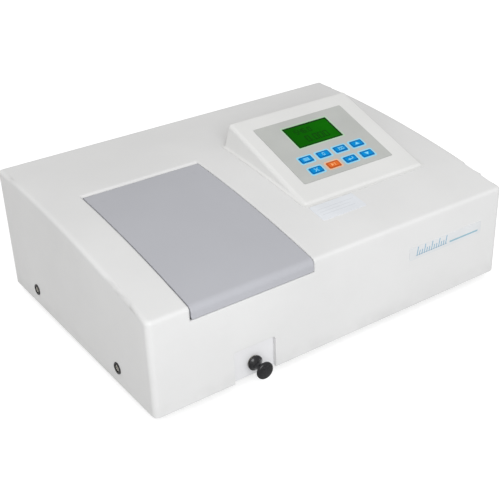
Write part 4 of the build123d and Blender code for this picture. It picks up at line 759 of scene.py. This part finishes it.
def stage_floor():
    """White paper. The camera sees it brighter than it is, with no extra light on the object."""
    bpy.ops.mesh.primitive_plane_add(size=14)
    floor = bpy.context.object
    floor.name = "studio_floor"
    s = Shader("studio_paper", 0.9)
    s.bsdf.inputs["Specular IOR Level"].default_value = 0.0
    seen = s.node("ShaderNodeLightPath").outputs["Is Camera Ray"]
    s.link(s.product(seen, PAPER_LIFT), s.bsdf.inputs["Emission Strength"])
    s.bsdf.inputs["Emission Color"].default_value = (1, 1, 1, 1)
    paper = srgb(212, 212, 212)
    paint(floor, s.finish(s.mix(s.noise(0.8), paper, shade(paper, 0.985))))


def surroundings():
    """Soft white all round, brighter towards BRIGHT_SIDE, and plain white where the camera sees it."""
    world = bpy.data.worlds.new("studio_world")
    world.use_nodes = True
    tree = world.node_tree
    direction = tree.nodes.new("ShaderNodeTexCoord").outputs["Generated"]
    facing = tree.nodes.new("ShaderNodeVectorMath")
    facing.operation = "DOT_PRODUCT"
    facing.inputs[1].default_value = Vector(BRIGHT_SIDE).normalized()
    tree.links.new(direction, facing.inputs[0])
    strength = tree.nodes.new("ShaderNodeMapRange")
    strength.inputs["From Min"].default_value = -1.0  # facing runs from -1, away, to 1, towards
    strength.inputs["To Min"].default_value = WORLD_DIM
    strength.inputs["To Max"].default_value = WORLD_BRIGHT
    tree.links.new(facing.outputs["Value"], strength.inputs["Value"])
    seen = tree.nodes.new("ShaderNodeMath")
    seen.operation = "MAXIMUM"
    tree.links.new(strength.outputs["Result"], seen.inputs[0])
    tree.links.new(tree.nodes.new("ShaderNodeLightPath").outputs["Is Camera Ray"], seen.inputs[1])
    background = tree.nodes["Background"]
    background.inputs["Color"].default_value = (1.0, 0.995, 0.985, 1)
    tree.links.new(seen.outputs["Value"], background.inputs["Strength"])
    bpy.context.scene.world = world
    bpy.context.scene.view_settings.view_transform = "Standard"


def softbox():
    """One large round light in front of the object, to its left."""
    lamp = bpy.data.lights.new("front_softbox", "AREA")
    lamp.shape = "DISK"
    lamp.size = SOFTBOX_SIZE
    lamp.energy = SOFTBOX_POWER
    lamp.color = (0.97, 0.985, 1.0)
    made = bpy.data.objects.new("front_softbox", lamp)
    made.location = SOFTBOX_AT
    aim = Vector(SOFTBOX_TARGET) - Vector(SOFTBOX_AT)
    made.rotation_euler = aim.to_track_quat("-Z", "Y").to_euler()
    bpy.context.scene.collection.objects.link(made)


def camera():
    """The eye stands in front of the left corner, above the object, rolled by a couple of degrees."""
    level = Vector((math.cos(EYE_AZIMUTH), math.sin(EYE_AZIMUTH), 0))
    away = Vector((math.sin(EYE_AZIMUTH), -math.cos(EYE_AZIMUTH), 0))
    back = away * math.cos(EYE_ELEVATION) + Vector((0, 0, math.sin(EYE_ELEVATION)))
    rise = back.cross(level)
    right = math.cos(EYE_ROLL) * level + math.sin(EYE_ROLL) * rise
    up = -math.sin(EYE_ROLL) * level + math.cos(EYE_ROLL) * rise
    lens = bpy.data.cameras.new("camera")
    lens.sensor_width = SENSOR_MM
    lens.lens = LENS_MM
    lens.clip_start = 0.01
    eye = bpy.data.objects.new("camera", lens)
    turn = Matrix((right, up, back)).transposed()
    eye.matrix_world = Matrix.Translation(EYE_AIM + back * EYE_DISTANCE) @ turn.to_4x4()
    bpy.context.scene.collection.objects.link(eye)
    bpy.context.scene.camera = eye


stage_floor()
surroundings()
softbox()
camera()
